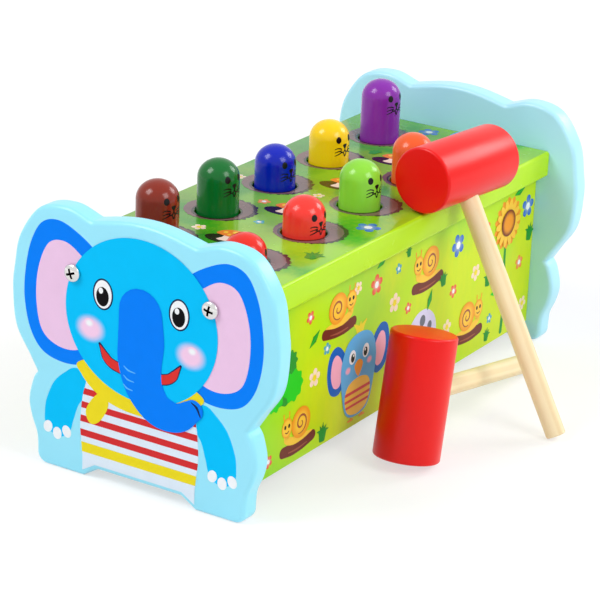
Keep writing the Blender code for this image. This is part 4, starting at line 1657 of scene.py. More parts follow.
@dataclass
class Peg:
    """A turned peg with a round head, a collar and a foot, and a small printed face."""

    colour: str
    ink: Ink
    facing: float = -7.0
    radius: float = 0.0090
    dome_height: float = 0.0082
    dome_steps: int = 16
    collar_low: float = 0.0030
    collar_high: float = 0.0070
    collar_radius: float = 0.0110
    foot_radius: float = 0.0050
    foot_steps: int = 9
    sides: int = 64
    edge: float = 0.0002
    joint_step: float = 0.00002

    @property
    def node(self) -> str:
        """The peg's CAD node and body."""
        return "peg_" + self.colour

    @property
    def foot(self) -> Vector:
        """The middle of the peg's round foot."""
        place = centre_of(self.node)
        place.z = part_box(self.node)[0][2] + self.foot_radius
        return place

    @property
    def top(self) -> float:
        """The height of the dome's top."""
        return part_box(self.node)[1][2]

    def profile(self) -> list[Point2]:
        """Radii and heights over the foot's middle, from the dome down."""
        top, edge, foot = self.top - self.foot.z, self.edge, self.foot_radius
        collar, low, high = self.collar_radius, self.collar_low, self.collar_high
        angles = [math.pi / 2 * i / self.foot_steps for i in range(self.foot_steps)]
        return [(0.0, top),
                *dome(self.radius, top - self.dome_height, self.dome_height, self.dome_steps),
                (self.radius, high + self.joint_step), (collar - edge, high),
                (collar, high - edge), (collar, low + edge), (collar - edge, low),
                (foot, low - self.joint_step),
                *((foot * math.cos(a), -foot * math.sin(a)) for a in angles), (0.0, -foot)]

    def face_shapes(self) -> list[InkShape]:
        """The face as ink, in millimetres round the peg and down from its top."""
        dark, shapes = Ink.BLACK, []
        for side in (-1, 1):
            shapes.append(InkShape.shaded(oval((side * 3.6, -7.1), 1.3, 1.5, steps=20), dark,
                                          dark, 3))
            for bend, start, rise in ((0.5, -11.3, 0.0), (0.2, -12.1, -0.7),
                                      (-0.1, -12.9, -1.3)):
                whisker = [(side * (2.0 + 3.3 * t), start + rise * t + bend * math.sin(3.0 * t))
                           for t in (0, 0.25, 0.5, 0.75, 1)]
                shapes.append(InkShape.stroke(whisker, (0.6, 0.5, 0.3), dark))
            lip = smooth([(0, -11.9), (side * 0.9, -12.9), (side * 2.0, -12.8),
                          (side * 2.8, -12.1)], 4)
            shapes.append(InkShape.stroke(lip, (0.5, 0.6, 0.4), dark))
        nose = smooth([(-1.3, -9.5), (0, -9.1), (1.3, -9.5), (0.7, -10.8), (0, -11.3),
                       (-0.7, -10.8)], 4, closed=True)
        tongue = smooth([(-0.8, -13.2), (0, -14.8), (0.8, -13.2)], 4)
        return stacked([*shapes, InkShape.shaded(nose, dark, dark, 3),
                        InkShape.stroke([(0, -11.2), (0, -11.6), (0, -12.0)], (0.5, 0.5), dark),
                        InkShape.stroke(tongue, (0.4, 0.5, 0.4), dark)])

    def build(self, shop: Workshop) -> None:
        """Make the turned and painted peg and print its face."""
        name, face, foot = self.node, self.node + "_face", self.foot
        paint = GlossPaint(name + "_paint", 0.18, 0.32, relief=0.000001, ink=self.ink,
                           own_grain=True).material(shop)
        mesh = shop.turned.turn(name, self.profile(), self.sides, paint)
        keep_grain(mesh).transform(Matrix.Translation(foot))
        shop.fit(name + "_turned", mesh, name, name, name)
        wall = DomedWall(Vector((foot.x, foot.y, self.top)), self.radius, self.dome_height,
                         math.radians(self.facing))
        shop.fit(face, print_mesh(face, wall, self.face_shapes()), name, name,
                 finish=PrintedInk("peg_face_ink", 0.3, 0.2))


@dataclass
class Mallet:
    """A mallet: a painted head, and a bare wood handle set in it."""

    name: str
    centre: Vector
    head_axis: Vector
    handle_axis: Vector
    head_radius: float = 0.01436
    head_length: float = 0.0542
    edge_radius: float = 0.0012
    handle_radius: float = 0.00436
    handle_reach: float = 0.1084
    socket_depth: float = 0.0180
    end_chamfer: float = 0.0008
    gap: float = 0.0003
    head_sides: int = 96
    handle_sides: int = 40

    def placement(self, along: Vector, aside: Vector) -> Matrix:
        """The placement with its Z along one direction and its X nearest to another."""
        z = along.normalized()
        x = (aside - z * aside.dot(z)).normalized()
        matrix = Matrix((x, z.cross(x), z)).transposed().to_4x4()
        matrix.translation = self.centre
        return matrix

    def build_head(self, shop: Workshop) -> None:
        """Make the head with its socket."""
        name, radius, edge = self.name + "_head", self.head_radius, self.edge_radius
        paint = GlossPaint("mallet_red_paint", 0.32, 0.3, relief=0.000003, ink=Ink.MALLET_RED,
                           own_grain=True)
        upper = arc((radius - edge, self.head_length / 2 - edge), edge, 90, 0, 6)
        profile = upper + [(reach, -height) for reach, height in reversed(upper)]
        mesh = shop.turned.turn(name, profile, self.head_sides, paint.material(shop))
        socket = Drill(Vector((radius, 0, 0)), Vector((radius - self.socket_depth, 0, 0)),
                       self.handle_radius + self.gap)
        mesh = keep_grain(drilled(name, mesh, [socket]))
        mesh.transform(self.placement(self.head_axis, self.handle_axis))
        shop.fit(name + "_turned", mesh, self.name, "mallet_red", name, finish=paint)

    def build_handle(self, shop: Workshop) -> None:
        """Make the handle, its profile's heights measured from the head's middle."""
        name, radius, chamfer = self.name + "_handle", self.handle_radius, self.end_chamfer
        start = self.head_radius - self.socket_depth + self.gap
        end = self.head_radius + self.handle_reach
        profile = [(radius - chamfer / 2, start), (radius, start + chamfer / 2),
                   (radius, end - chamfer), (radius - chamfer * 0.3, end - chamfer * 0.3),
                   (radius - chamfer, end)]
        wood = Wood("handle_wood", roughness=0.5, own_grain=True, contrast=0.5).material(shop)
        mesh = keep_grain(shop.turned.turn(name, profile, self.handle_sides, wood))
        mesh.transform(self.placement(self.handle_axis, self.head_axis))
        shop.fit(name + "_turned", mesh, self.name, "pale_wood", name)

    def build(self, shop: Workshop) -> None:
        """Make the head and the handle."""
        self.build_head(shop)
        self.build_handle(shop)


@dataclass
class Mechanism:
    """The rockers, rod, spacers and dowel pins, which keep their CAD shapes."""

    finishes: Mapping[str, Finish] = field(default_factory=lambda: {
        "rocker": Wood("rocker_beech", 0.55, light=Ink.BEECH_LIGHT, dark=Ink.BEECH_DARK,
                       axis=GrainAxis.ALONG_X),
        "pivot": Wood("rod_wood", 0.5, axis=GrainAxis.ALONG_Y),
        "spacer": Wood("spacer_wood", 0.55, light=Ink.BEECH_LIGHT, dark=Ink.BEECH_DARK,
                       axis=GrainAxis.ALONG_Y),
        "dowel": Wood("dowel_wood", 0.55, axis=GrainAxis.ALONG_Y),
    })

    def build(self, shop: Workshop) -> None:
        """Give each CAD node that stays its finish."""
        for name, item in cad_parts.items():
            finish = self.finishes.get(name.split("_")[0])
            if finish is not None:
                item.data.materials.clear()
                item.data.materials.append(finish.material(shop))
                LOG.info("%s: %s", name, finish.name)


def dot(ink: Ink, u: float, v: float, wide: float, tall: float, turn: float = 0.0,
        core: Ink | None = None, share: float = 0.4) -> InkShape:
    """An oval of ink.

    Args:
        ink: Its colour, at its edge where it has a core.
        u: The place of its middle across the sheet.
        v: The place of its middle up the sheet.
        wide: Half its width.
        tall: Half its height.
        turn: Its turn in degrees.
        core: The colour that it turns to at its middle, if another.
        share: The size of the core, as a share.

    Returns:
        The shape.
    """
    steps = max(14, min(96, round(9 * math.sqrt(wide + tall))))
    outline = oval((u, v), wide, tall, turn, steps)
    if core is None:
        return InkShape.plain(outline, ink)
    return InkShape.shaded(outline, ink, core, 6, share)


def blob(ink: Ink, *knots: Point2) -> InkShape:
    """A smooth closed shape of ink through knots."""
    return InkShape.plain(smooth(knots, closed=True), ink)


def line(ink: Ink, widths: Sequence[float], *knots: Point2) -> InkShape:
    """A smooth line of ink through knots."""
    return InkShape.stroke(smooth(knots, 6), widths, ink)


def mirrored(*shapes: InkShape) -> list[InkShape]:
    """The shapes and their mirror images about the sheet's middle."""
    return [*shapes, *(shape.moved((0, 0), flip=True) for shape in shapes)]


def placed(shapes: Iterable[InkShape], shift: Point2, scale: float = 1.0, turn: float = 0.0,
           flip: bool = False) -> list[InkShape]:
    """A motif's shapes, moved to a place of the sheet."""
    return [shape.moved(shift, scale, turn, flip) for shape in shapes]


@dataclass
class ElephantPrint:
    """A cartoon elephant in flat colours for the end panels, drawn in millimetres."""

    bench: Bench
    head: tuple[float, float, float, float] = (0.0, 74.5, 37.0, 34.5)
    ear: Points = (
        (10, 86), (21, 98), (31, 104.8), (41, 108.3), (49.5, 105.6), (55, 96), (57.7, 83),
        (58, 71), (55.2, 59), (49.5, 51), (41, 48), (31, 48.5), (22, 53), (16, 68))
    ear_lining: Points = ((22, 88), (30, 96), (38, 100), (46, 97.5), (51, 86), (52, 72),
                          (49, 59.5), (41, 54.4), (31, 55), (22, 62))
    body: Points = ((27.9, 9), (28.6, 16), (29.2, 25), (27, 40), (20, 50),
                    (-20, 50), (-27, 40), (-29.2, 25), (-28.6, 16), (-27.9, 9))
    legs: Points = ((-27.9, 13), (-27.9, 2.8), (-21.6, 6.6), (21.6, 6.6), (27.9, 2.8),
                    (27.9, 13))
    belt: Point2 = (8.6, 12.8)
    scarf: Points = ((-29, 51), (-28.6, 45), (-21, 38.6), (-11, 35.2), (0, 34.2),
                     (11, 35.2), (21, 38.6), (28.6, 45), (29, 51), (0, 60))
    scarf_tail: Points = ((-17.6, 40), (-22.6, 36.4), (-26.4, 29.6), (-24.2, 24.6),
                          (-19.4, 26.6), (-15.2, 34.6))
    trunk: Points = ((0, 78), (0.5, 67.5), (0, 57), (2.5, 47), (9.5, 39.5), (19, 38.5),
                     (26.5, 43.5))
    trunk_widths: tuple[float, ...] = (21.0, 22.5, 21.5, 19.0, 16.0, 12.5, 9.0)
    arm: Points = ((31, 40.5), (36.5, 34.5), (39.5, 27), (40.5, 21.5))
    stripe_bend: float = 0.0032
    stripe_base: float = 15.4
    stripe_pitch: float = 6.2
    stripe_height: float = 2.9

    def clothes(self) -> list[InkShape]:
        """The legs, the striped shirt, the belt and the neckerchief."""
        body = smooth(self.body, 6)
        shapes = [InkShape.plain(body, Ink.BODY_WHITE), InkShape.plain(self.legs, Ink.BODY_WHITE)]
        bands = [(self.stripe_base + step * self.stripe_pitch, self.stripe_height,
                  Ink.STRIPE_RED) for step in range(5)]
        bands.append((self.belt[0], self.belt[1] - self.belt[0], Ink.SCARF_YELLOW))
        for base, height, ink in bands:
            band = cut_band(body, base, base + height, self.stripe_bend)
            shapes.append(InkShape.plain(band, ink))
        return shapes + [blob(Ink.SCARF_YELLOW, *self.scarf_tail),
                         blob(Ink.SCARF_YELLOW, *self.scarf)]

    def ears_and_arms(self) -> list[InkShape]:
        """Both ears with their linings, and both arms with their nails."""
        nails = [dot(Ink.WHITE, 40.9 + du, 16.4 + dv, 2.2, 2.7, turn)
                 for du, dv, turn in ((-4.8, 1.2, -20), (0, -0.7, 0), (4.8, 1.2, 20))]
        return mirrored(line(Ink.HEAD_CYAN, (13.0, 14.5, 15.0, 14.0), *self.arm), *nails,
                        blob(Ink.EAR_BLUE, *self.ear), blob(Ink.EAR_PINK, *self.ear_lining))

    def face(self) -> list[InkShape]:
        """The head with its cheeks, its smile and its eyes."""
        side = [
            dot(Ink.HEAD_CYAN, 24.5, 66.0, 8.0, 6.4, core=Ink.CHEEK_PINK, share=0.45),
            dot(Ink.CHEEK_PINK, 25.1, 68.2, 2.6, 2.0, core=Ink.WHITE, share=0.25),
            line(Ink.NAVY, (4.6, 4.8, 4.2, 1.2), (7, 51.8), (15, 54.2), (19.8, 60.6)),
            line(Ink.SMILE_RED, (3.8, 4.0, 3.4, 0.4), (7, 51.8), (15, 54.2), (19.5, 60.0)),
            dot(Ink.NAVY, 18.5, 82.0, 5.0, 6.7), dot(Ink.WHITE, 18.5, 82.0, 4.3, 6.0)]
        pupils = [shape for u in (-18.5, 18.5) for shape in (
            dot(Ink.BLACK, u - 0.2, 81.0, 3.1, 4.1), dot(Ink.WHITE, u - 1.0, 83.4, 1.1, 1.3))]
        return [dot(Ink.HEAD_CYAN, *self.head), *mirrored(*side), *pupils]

    def trunk_shapes(self) -> list[InkShape]:
        """The trunk with its creases and its nostril."""
        shapes = [line(Ink.EAR_BLUE, self.trunk_widths, *self.trunk)]
        for v, reach in ((54.0, 5.0), (50.0, 4.4), (46.2, 3.8)):
            shapes.append(line(Ink.CREASE_BLUE, (0.3, 0.7, 0.3), (-7.6, v), (-7.8 + reach / 2,
                               v - 1.4), (-7.0 + reach, v - 1.8)))
        return shapes + [line(Ink.NAVY, (0.4, 1.1, 0.5), (25.4, 46.6), (28.0, 45.0),
                              (29.8, 41.6))]

    def build(self, shop: Workshop) -> None:
        """Print the elephant on both end panels."""
        shapes = stacked([*self.ears_and_arms(), *self.clothes(), *self.face(),
                          *self.trunk_shapes()])
        for name, face in (("front_print", self.bench.front_face()),
                           ("back_print", self.bench.back_face())):
            shop.fit(name, print_mesh(name, face, shapes), "bench", "panel_blue",
                     finish=PrintedInk("panel_ink", 0.35, 0.05))


class MeadowMotifs:
    """Motifs of the meadow print, in millimetres about their own middles."""

    def snail(self) -> list[InkShape]:
        """A snail on a log."""
        spiral = [(1.8 + r * math.cos(a), 1.4 + r * math.sin(a)) for r, a in
                  ((4.9 - 0.165 * i, -1.9 + 0.36 * i) for i in range(26))]
        return [
            line(Ink.LOG_BROWN, (5.0, 5.8, 5.4, 4.8), (-11.5, -8.2), (-4, -8.8), (4, -8.6),
                 (11.5, -7.6)),
            line(Ink.LOG_LIGHT, (0.5, 0.9, 0.4), (-7, -9.6), (0, -9.9), (7, -9.2)),
            line(Ink.SNAIL_YELLOW, (4.6, 3.8, 3.6, 3.0, 0.8), (-8.6, -0.5), (-8.4, -3.4),
                 (-3, -5.2), (4, -5.3), (10.5, -5.0)),
            line(Ink.SNAIL_ORANGE, (0.8, 0.7), (-10.6, 5.6), (-11.4, 7.4), (-11.6, 9)),
            line(Ink.SNAIL_ORANGE, (0.8, 0.7), (-7.6, 6), (-7.2, 7.6), (-7.2, 9.2)),
            dot(Ink.SNAIL_ORANGE, -8.9, 2.4, 4.0, 4.4, core=Ink.SNAIL_YELLOW, share=0.7),
            dot(Ink.BLACK, -10.4, 3.0, 0.75, 0.95), dot(Ink.BLACK, -7.4, 3.0, 0.75, 0.95),
            line(Ink.LOG_BROWN, (0.4, 0.5), (-10.2, 0.6), (-8.9, 0), (-7.6, 0.6)),
            dot(Ink.SNAIL_ORANGE, 1.8, 1.6, 7.2, 7.0, core=Ink.SNAIL_YELLOW),
            InkShape.stroke(spiral, (0.4, 1.0, 0.9, 0.4), Ink.LOG_LIGHT),
        ]

    def bird(self) -> list[InkShape]:
        """A round blue bird with spread wings and a yellow belly."""
        belly = smooth([(0, -4), (8, -6), (10.2, -12), (7.4, -18.5), (0, -20.6),
                        (-7.4, -18.5), (-10.2, -12), (-8, -6)], closed=True)
        shapes = mirrored(
            blob(Ink.BIRD_DEEP, (11, 9), (17, 15), (23, 13), (25, 4), (22, -5), (15, -7),
                 (11, -1)),
            blob(Ink.BIRD_PINK, (13.5, 7), (17.5, 11.3), (21, 9.5), (22, 3), (19.5, -2.8),
                 (15.2, -3.6), (13, 1)),
            line(Ink.SNAIL_ORANGE, (1.0, 1.0), (4, -20.4), (4.2, -21.4), (4.4, -22.4)),
            line(Ink.SNAIL_ORANGE, (0.9, 1.2, 0.9), (2.6, -22.6), (4.4, -22.4), (6.4, -22.6)))
        for s in (-1.4, 0.1, 1.4):
            shapes.append(line(Ink.SCARF_YELLOW, (2.8, 2.8, 0.8), (0.5 * s, 15),
                               (1.4 * s, 18.5), (3.4 * s, 20.8)))
        shapes.append(blob(Ink.BIRD_BLUE, (0, 16.5), (9.5, 13.5), (14, 4), (12.5, -9),
                           (8.5, -19), (0, -21.5), (-8.5, -19), (-12.5, -9), (-14, 4),
                           (-9.5, 13.5)))
        shapes.append(InkShape.plain(belly, Ink.SNAIL_YELLOW))
        shapes += [InkShape.plain(cut_band(belly, base, base + 1.3, -0.02), Ink.STRIPE_RED)
                   for base in (-8.4, -11.6, -14.8)]
        shapes += mirrored(
            dot(Ink.WHITE, 5.4, 6.6, 2.6, 3.2), dot(Ink.BLACK, 5.1, 6.2, 1.5, 2.0),
            dot(Ink.WHITE, 4.7, 7.2, 0.5, 0.6),
            dot(Ink.BIRD_BLUE, 8.6, 1.4, 2.6, 2.0, core=Ink.BIRD_PINK))
        shapes.append(blob(Ink.SNAIL_ORANGE, (0, 4.2), (3.4, 1.6), (0, -3.4), (-3.4, 1.6)))
        return shapes

    def toadstool(self, cap: Ink, spot: Ink, stem: Ink) -> list[InkShape]:
        """A spotted toadstool in three colours."""
        return [
            blob(stem, (-3.4, -1), (-3.2, -7), (-4.8, -13), (0, -14.2), (4.8, -13), (3.2, -7),
                 (3.4, -1)),
            blob(cap, (-13, 0), (-11.5, 7), (-6, 12), (0, 13.4), (6, 12), (11.5, 7), (13, 0),
                 (8, -2.4), (0, -3.2), (-8, -2.4)),
            *(dot(spot, u, v, r, r * 1.15) for u, v, r in
              ((-7, 4.6, 2.0), (0.4, 8.2, 2.4), (7, 4.2, 1.9), (-1.6, 1.4, 1.5)))]

    def sunflower(self, height: float = 64.0) -> list[InkShape]:
        """A tall sunflower whose stalk stands on the motif's zero point."""
        top = height - 11
        shapes = [line(Ink.LEAF_GREEN, (2.6, 2.2, 1.8), (0, 0), (1.6, height * 0.3),
                       (-0.8, height * 0.55), (0, top))]
        for side, low in ((1, 8.0), (-1, 16.0)):
            shapes.append(line(Ink.LEAF_BRIGHT, (1.0, 5.4, 0.4), (0, low),
                               (side * 6, low + 5), (side * 12, low + 5.5)))
        count = 14
        for ring, ink, reach in ((1, Ink.SNAIL_ORANGE, 8.9), (2, Ink.SNAIL_YELLOW, 7.9)):
            for i in range(count):
                angle = math.tau * (i + 0.5 * ring) / count
                shapes.append(dot(ink, reach * math.cos(angle), top + reach * math.sin(angle),
                                  3.6, 1.75, math.degrees(angle)))
        return shapes + [dot(Ink.LOG_BROWN, 0, top, 6.3, 6.3, core=Ink.SNAIL_ORANGE,
                             share=0.5)]

    def bush(self) -> list[InkShape]:
        """A round bush with leaves in two greens."""
        shapes = []
        for u, v, r, ink in ((0, 0, 9.5, Ink.LEAF_GREEN), (-6, -4, 6, Ink.LEAF_BRIGHT),
                             (6.5, -3, 6.5, Ink.LEAF_BRIGHT), (-3.5, 5.5, 6, Ink.LEAF_BRIGHT),
                             (3.8, 7.5, 4.6, Ink.LEAF_GREEN)):
            lobes = [(u + (r + 0.55 * math.cos(9 * a)) * math.cos(a),
                      v + (r + 0.55 * math.cos(9 * a)) * math.sin(a))
                     for a in (math.tau * i / 54 for i in range(54))]
            shapes.append(InkShape.plain(lobes, ink))
        return shapes

    def leaf(self) -> list[InkShape]:
        """A pointed leaf with its rib."""
        return [line(Ink.LEAF_GREEN, (0.4, 4.0, 0.3), (-4.5, -2), (0, 0.4), (4.5, 3)),
                line(Ink.LEAF_BRIGHT, (0.4, 0.5, 0.2), (-3.4, -1.4), (0, 0.4), (3.4, 2.2))]

    def tuft(self) -> list[InkShape]:
        """A tuft of grass."""
        return [line(Ink.LEAF_GREEN, (1.7, 1.4, 0.2), (lean * 0.25, -2),
                     (lean * 0.5, height * 0.3), (lean, height - 2))
                for lean, height in ((-3.6, 3.6), (-1.8, 5.4), (0.2, 6.4), (2.2, 5.2),
                                     (3.8, 3.4))]


Spot = tuple[float, float, float]
BOARD_INK = PrintedInk("board_ink", 0.25, 0.2, 0.4, 0.05, 0.000002)
SIDE_INK = PrintedInk("side_ink", 0.3, 0.15)
# Flowers and tufts: the place across and up the board, and a width in millimetres or a size.
SIDE_BLOOMS = (
    (Ink.FLOWER_RED, ((28, 16, 6.0), (56, 70, 6.0), (108, 69, 9.5), (136, 50, 5.5),
                      (176, 46, 6.5))),
    (Ink.FLOWER_ORANGE, ((204, 66, 9.5), (238, 42, 7.0))),
    (Ink.FLOWER_BLUE, ((178, 67, 11.0), (243, 68, 11.0))),
    (Ink.FLOWER_TEAL, ((70, 52, 5.5), (126, 71, 5.0), (166, 16, 6.0), (212, 22, 5.0))),
    (Ink.FLOWER_PINK, ((61, 42, 8.5), (93, 72, 6.0), (124, 56, 9.0), (172, 30, 7.5),
                       (196, 49, 8.0), (244, 20, 7.0))),
)
SIDE_TUFTS = ((69, 14, 1.2), (127, 34, 1.1), (124, 14, 1.2), (166, 54, 1.0), (208, 42, 1.1),
              (210, 14.0, 0.9), (246, 54, 1.2), (22, 70, 1.0), (134, 76, 0.7))
TOP_BLOOMS = (
    (Ink.FLOWER_BLUE, ((39.5, 106.9, 11.0), (-8, 240, 10.0), (-39.5, 195, 10.0))),
    (Ink.FLOWER_ORANGE, ((-13, 107.5, 6.0), (14, 151, 6.0), (-40, 62, 7.0))),
    (Ink.FLOWER_TEAL, ((0, 84, 5.0), (1, 173, 5.0))),
    (Ink.FLOWER_PINK, ((40, 152, 6.5), (-16, 63, 6.5), (-40, 129, 6.0), (1, 129, 5.5),
                       (30, 240, 7.0))),
    (Ink.FLOWER_ORANGE, ((-36, 240, 7.0),)),
)
TOP_TUFTS = ((40, 62.5, 1.3), (-40, 152, 1.2), (12, 108, 0.9), (-40, 107, 1.1), (40, 196, 1.2),
             (-12, 197, 1.0), (13, 240, 1.0), (30, 19, 1.0), (-30, 19, 1.0))


@dataclass
class MeadowSheet:
    """The print of one board: motifs, flowers and tufts of grass."""

    name: str
    face: FlatFace
    slot: str
    blooms: Sequence[tuple[Ink, Sequence[Spot]]]
    tufts: Sequence[Spot]
    ink: PrintedInk
    seed: int = 7
    lean: float = 0.25

    def flowers(self, shop: Workshop, rng: random.Random) -> Mesh:
        """The flowers, each with its own turn and colours."""
        blooms = [(ink, *bloom) for ink, row in self.blooms for bloom in row]
        hearts = [Ink.SCARF_YELLOW if ink is Ink.FLOWER_PINK else Ink.WHITE
                  for ink, *_ in blooms]
        base = point_mesh(
            self.name + ".blooms", [(u * MM, v * MM, 0) for _, u, v, _ in blooms],
            turn=[(0.0, 0.0, rng.uniform(0, math.tau)) for _ in blooms],
            size=[width * MM / 2 for *_, width in blooms],
            tint=[ink.linear for ink, *_ in blooms], heart=[heart.linear for heart in hearts])
        return shop.flowers.grow(self.name + "_flowers", base, material=self.ink.material(shop))

    def grass(self, shop: Workshop, rng: random.Random) -> Mesh:
        """The tufts of grass, each with its own size and lean."""
        name = self.name + "_grass"
        tuft = piece(name + ".motif", print_mesh(name, FlatFace(Vector(), X_AXIS, Y_AXIS),
                                                 stacked(MeadowMotifs().tuft())))
        base = point_mesh(
            name + ".points", [(u * MM, v * MM, 0) for u, v, _ in self.tufts],
            turn=[(0.0, 0.0, rng.uniform(-self.lean, self.lean)) for _ in self.tufts],
            size=[size for *_, size in self.tufts])
        mesh = shop.scatter.grow(name, base, motif=tuft, material=self.ink.material(shop))
        discard(tuft)
        return mesh

    def build(self, shop: Workshop, shapes: Sequence[InkShape]) -> None:
        """Print the board with its motifs, already stacked, its flowers and its grass."""
        rng, name = random.Random(self.seed), self.name + "_motifs"
        shop.fit(name, print_mesh(name, self.face, shapes), "bench", self.slot, finish=self.ink)
        for mesh in (self.flowers(shop, rng), self.grass(shop, rng)):
            mesh.transform(self.face.matrix)
            shop.fit(mesh.name, mesh, "bench", self.slot)


@dataclass(frozen=True)
class SoilLayer:
    """One layer of a soil patch: its radii, its raggedness and where its rim's middle lies."""

    name: str
    ink: Ink
    inner: float
    outer: float
    ragged: float
    side_shift: float
    shift: Point2


@dataclass
class SoilPatches:
    """The printed soil round the peg holes, off centre, with a dark rim on one side and a painted
    shade ring at each hole's mouth.
    """

    bench: Bench
    pegs: Sequence[Peg]
    layers: tuple[SoilLayer, ...] = (
        SoilLayer("soil_rim", Ink.SOIL_DARK, 0.0104, 0.0149, 0.0019, 0.0010, (0.0016, 0.0030)),
        SoilLayer("soil_face", Ink.SOIL_MAUVE, 0.0104, 0.0148, 0.0006, 0.0010, (0.0, 0.0022)),
        # Painted shade: a dark ring at each hole's mouth, a little towards the front.
        SoilLayer("soil_mouth", Ink.SOIL_DARK, 0.0101, 0.0109, 0.0002, 0.0, (0.0, -0.0004)),
    )

    def build(self, shop: Workshop) -> None:
        """Print the layers round each hole."""
        face = self.bench.top_face().matrix
        spots = [face.inverted() @ peg.foot for peg in self.pegs]
        for level, layer in enumerate(self.layers):
            shifts = [(math.copysign(layer.side_shift, spot.x) + layer.shift[0],
                       layer.shift[1], 0.0) for spot in spots]
            base = point_mesh(layer.name + ".spots", [(spot.x, spot.y, 0) for spot in spots],
                              **{SHIFT_ATTRIBUTE: shifts})
            mesh = shop.soil.grow(
                layer.name, base, inner_radius=layer.inner, outer_radius=layer.outer,
                ragged=layer.ragged, layer=level, colour=layer.ink.linear,
                material=BOARD_INK.material(shop))
            mesh.transform(face)
            shop.fit(layer.name, mesh, "bench", "board_green")


@dataclass
class MeadowPrints:
    """The prints of the top board and of both side boards."""

    bench: Bench
    motifs: MeadowMotifs = field(default_factory=MeadowMotifs)

    def side_shapes(self) -> list[InkShape]:
        """The side print's motifs in their places."""
        motifs = self.motifs
        shapes = placed(motifs.bush(), (38, 47), 1.05)
        for place, flip in (((50, 24), False), ((79, 66), True), ((152, 65), False),
                            ((192, 28), True)):
            shapes += placed(motifs.snail(), place, 0.98, flip=flip)
        shapes += placed(motifs.bird(), (96, 35))
        shapes += placed(motifs.toadstool(Ink.CAP_LILAC, Ink.CAP_GREY, Ink.BODY_WHITE),
                         (149, 32), 0.98)
        shapes += placed(motifs.sunflower(), (224, 12))
        for place, turn in (((112, 78), 0), ((155, 48), 40), ((234, 77), -20), ((22, 62), 60),
                            ((60, 59), 10)):
            shapes += placed(motifs.leaf(), place, 0.9, turn)
        return stacked(shapes)

    def top_shapes(self) -> list[InkShape]:
        """The top print's motifs in their places."""
        shapes = []
        cap = self.motifs.toadstool(Ink.FLOWER_ORANGE, Ink.SNAIL_YELLOW, Ink.FLOWER_PINK)
        for v in (61.5, 106, 150, 194.5):
            shapes.append(dot(Ink.SOIL_DARK, 0, v - 4.4, 8.6, 4.6))
            shapes += placed(cap, (0, v + 0.6), 0.5)
        return stacked(shapes)

    def build(self, shop: Workshop) -> None:
        """Print the boards."""
        bench, shapes = self.bench, self.side_shapes()
        for name, face in (("right", bench.right_face()), ("left", bench.left_face())):
            MeadowSheet(f"side_{name}_print", face, "side_green", SIDE_BLOOMS, SIDE_TUFTS,
                        SIDE_INK).build(shop, shapes)
        MeadowSheet("top_print", bench.top_face(), "board_green", TOP_BLOOMS, TOP_TUFTS,
                    BOARD_INK, 11).build(shop, self.top_shapes())


@dataclass(frozen=True)
class SoftLamp:
    """A square soft lamp that points at the toy."""

    name: str
    place: tuple[float, float, float]
    aim: tuple[float, float, float]
    size: float
    power: float

    def build(self) -> None:
        """Hang the lamp."""
        data = bpy.data.lights.new(self.name, "AREA")
        data.size = self.size
        data.energy = self.power
        lamp = bpy.data.objects.new(self.name, data)
        lamp.location = self.place
        lamp.rotation_euler = (Vector(self.aim) - Vector(self.place)).to_track_quat(
            "-Z", "Y").to_euler()
        bpy.context.scene.collection.objects.link(lamp)


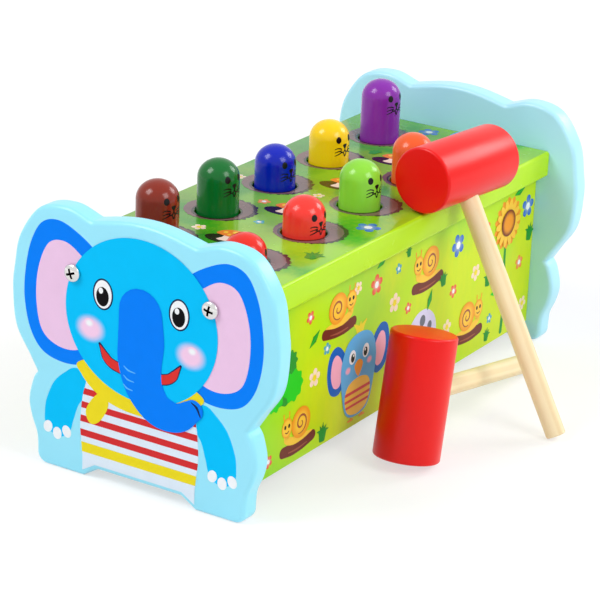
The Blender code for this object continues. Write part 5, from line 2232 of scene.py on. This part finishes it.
@dataclass
class Studio:
    """The white floor, the pale surroundings, the lamps and the camera."""

    camera_place: tuple[float, float, float] = (0.551286, -0.94229, 0.46428)
    camera_turn: tuple[float, float, float] = (69.181, -2.2318, 32.5851)
    lens: float = 161.762
    floor_half: float = 3.0
    floor_glow: float = 0.62
    floor_bounce: float = 0.9
    floor_seen: float = 0.42
    glow_from: float = 0.45
    glow_to: float = 1.1
    ambient: float = 0.40
    lamps: tuple[SoftLamp, ...] = (
        SoftLamp("key_lamp", (-0.75, -0.95, 1.35), (0, 0, 0.05), 0.75, 16.0),
        SoftLamp("right_lamp", (1.25, -0.15, 1.0), (0, 0, 0.05), 0.7, 10.0),
        SoftLamp("back_lamp", (0.62, 1.15, 0.85), (0, 0, 0.05), 0.6, 8.0),
    )

    def build_camera(self) -> None:
        """Set up the camera as the photograph's."""
        data = bpy.data.cameras.new("photo_camera")
        data.lens = self.lens
        data.sensor_width = 36.0
        data.clip_end = 20.0
        camera = bpy.data.objects.new("photo_camera", data)
        camera.location = self.camera_place
        camera.rotation_euler = [math.radians(angle) for angle in self.camera_turn]
        bpy.context.scene.collection.objects.link(camera)
        bpy.context.scene.camera = camera

    def seen_directly(self, graph: Graph) -> Socket:
        """1 for what the camera sees straight, in a mirror or through glass."""
        path = graph.add("ShaderNodeLightPath").outputs
        seen = graph.maths("MAXIMUM", path["Is Camera Ray"], path["Is Glossy Ray"])
        return graph.maths("MAXIMUM", seen, path["Is Transmission Ray"])

    def build_world(self) -> None:
        """Light the toy from all round, on a white background."""
        world = bpy.data.worlds.new("white_surroundings")
        world.use_nodes = True
        bpy.context.scene.world = world
        graph = Graph(world.node_tree)
        strength = graph.ramp(self.seen_directly(graph), 0.0, 1.0, self.ambient, 1.0)
        background = world.node_tree.nodes["Background"]
        background.inputs["Color"].default_value = (1, 1, 1, 1)
        graph.feed(background.inputs["Strength"], strength)

    def build_floor(self) -> None:
        """Lay a white floor that keeps the toy's soft shadow."""
        half = self.floor_half
        mesh = bpy.data.meshes.new("studio_floor")
        mesh.from_pydata([(-half, -half, 0), (half, -half, 0), (half, half, 0),
                          (-half, half, 0)], [], [(0, 1, 2, 3)])
        material = bpy.data.materials.new("floor_white")
        material.use_nodes = True
        graph = Graph(material.node_tree)
        material.node_tree.nodes.clear()
        seen = self.seen_directly(graph)
        grey = graph.ramp(seen, 0.0, 1.0, self.floor_bounce, self.floor_seen)
        diffuse = graph.out("ShaderNodeBsdfDiffuse", {"Color": grey})
        strength = graph.ramp(graph.length(graph.place()), self.glow_from, self.glow_to,
                              self.floor_glow, 1.0)
        glow = graph.out("ShaderNodeEmission", {"Strength": graph.times(seen, strength)})
        both = graph.out("ShaderNodeAddShader", {0: diffuse, 1: glow})
        graph.add("ShaderNodeOutputMaterial", {"Surface": both})
        piece("studio_floor", mesh, material)

    def build(self) -> None:
        """Set up the whole studio."""
        bpy.context.scene.view_settings.view_transform = "Standard"
        self.build_camera()
        self.build_world()
        self.build_floor()
        for lamp in self.lamps:
            lamp.build()


class HammerPegToy:
    """The whole toy, built around its CAD frame."""

    def __init__(self) -> None:
        """Set out the sub-assemblies in the order of their building."""
        bench = Bench()
        pegs = [Peg(ink.name.removeprefix("PEG_").lower(), ink) for ink in Ink
                if ink.name.startswith("PEG_")]
        self.parts = [
            EndPanel("front_panel", bench.front_face(), bench),
            # The back panel gets the paler copy of the panel blue: painted light.
            EndPanel("back_panel", bench.back_face(), bench, Ink.PANEL_PALE),
            TopBoard(bench, pegs), SideBoard("side_board_left", -1, bench),
            SideBoard("side_board_right", 1, bench), PanelScrews(bench), Mechanism(),
            ElephantPrint(bench), SoilPatches(bench, pegs), MeadowPrints(bench), *pegs,
            Mallet("leaning_mallet", Vector((0.026044, 0.0312, 0.108355)),
                   Vector((0.085268, 0.996063, -0.024254)),
                   Vector((0.492006, -0.063261, -0.868291))),
            Mallet("floor_mallet", Vector((0.047173, -0.0327, 0.029307)),
                   Vector((-0.012534, 0.204927, 0.978697)),
                   Vector((-0.059748, 0.976872, -0.205310))),
        ]

    def build(self, shop: Workshop) -> None:
        """Build the whole toy."""
        for part in self.parts:
            part.build(shop)


def main() -> None:
    """Build the toy and the studio round it."""
    logging.basicConfig(level=logging.INFO)
    HammerPegToy().build(Workshop())
    Studio().build()


if __name__ == "__main__":
    main()
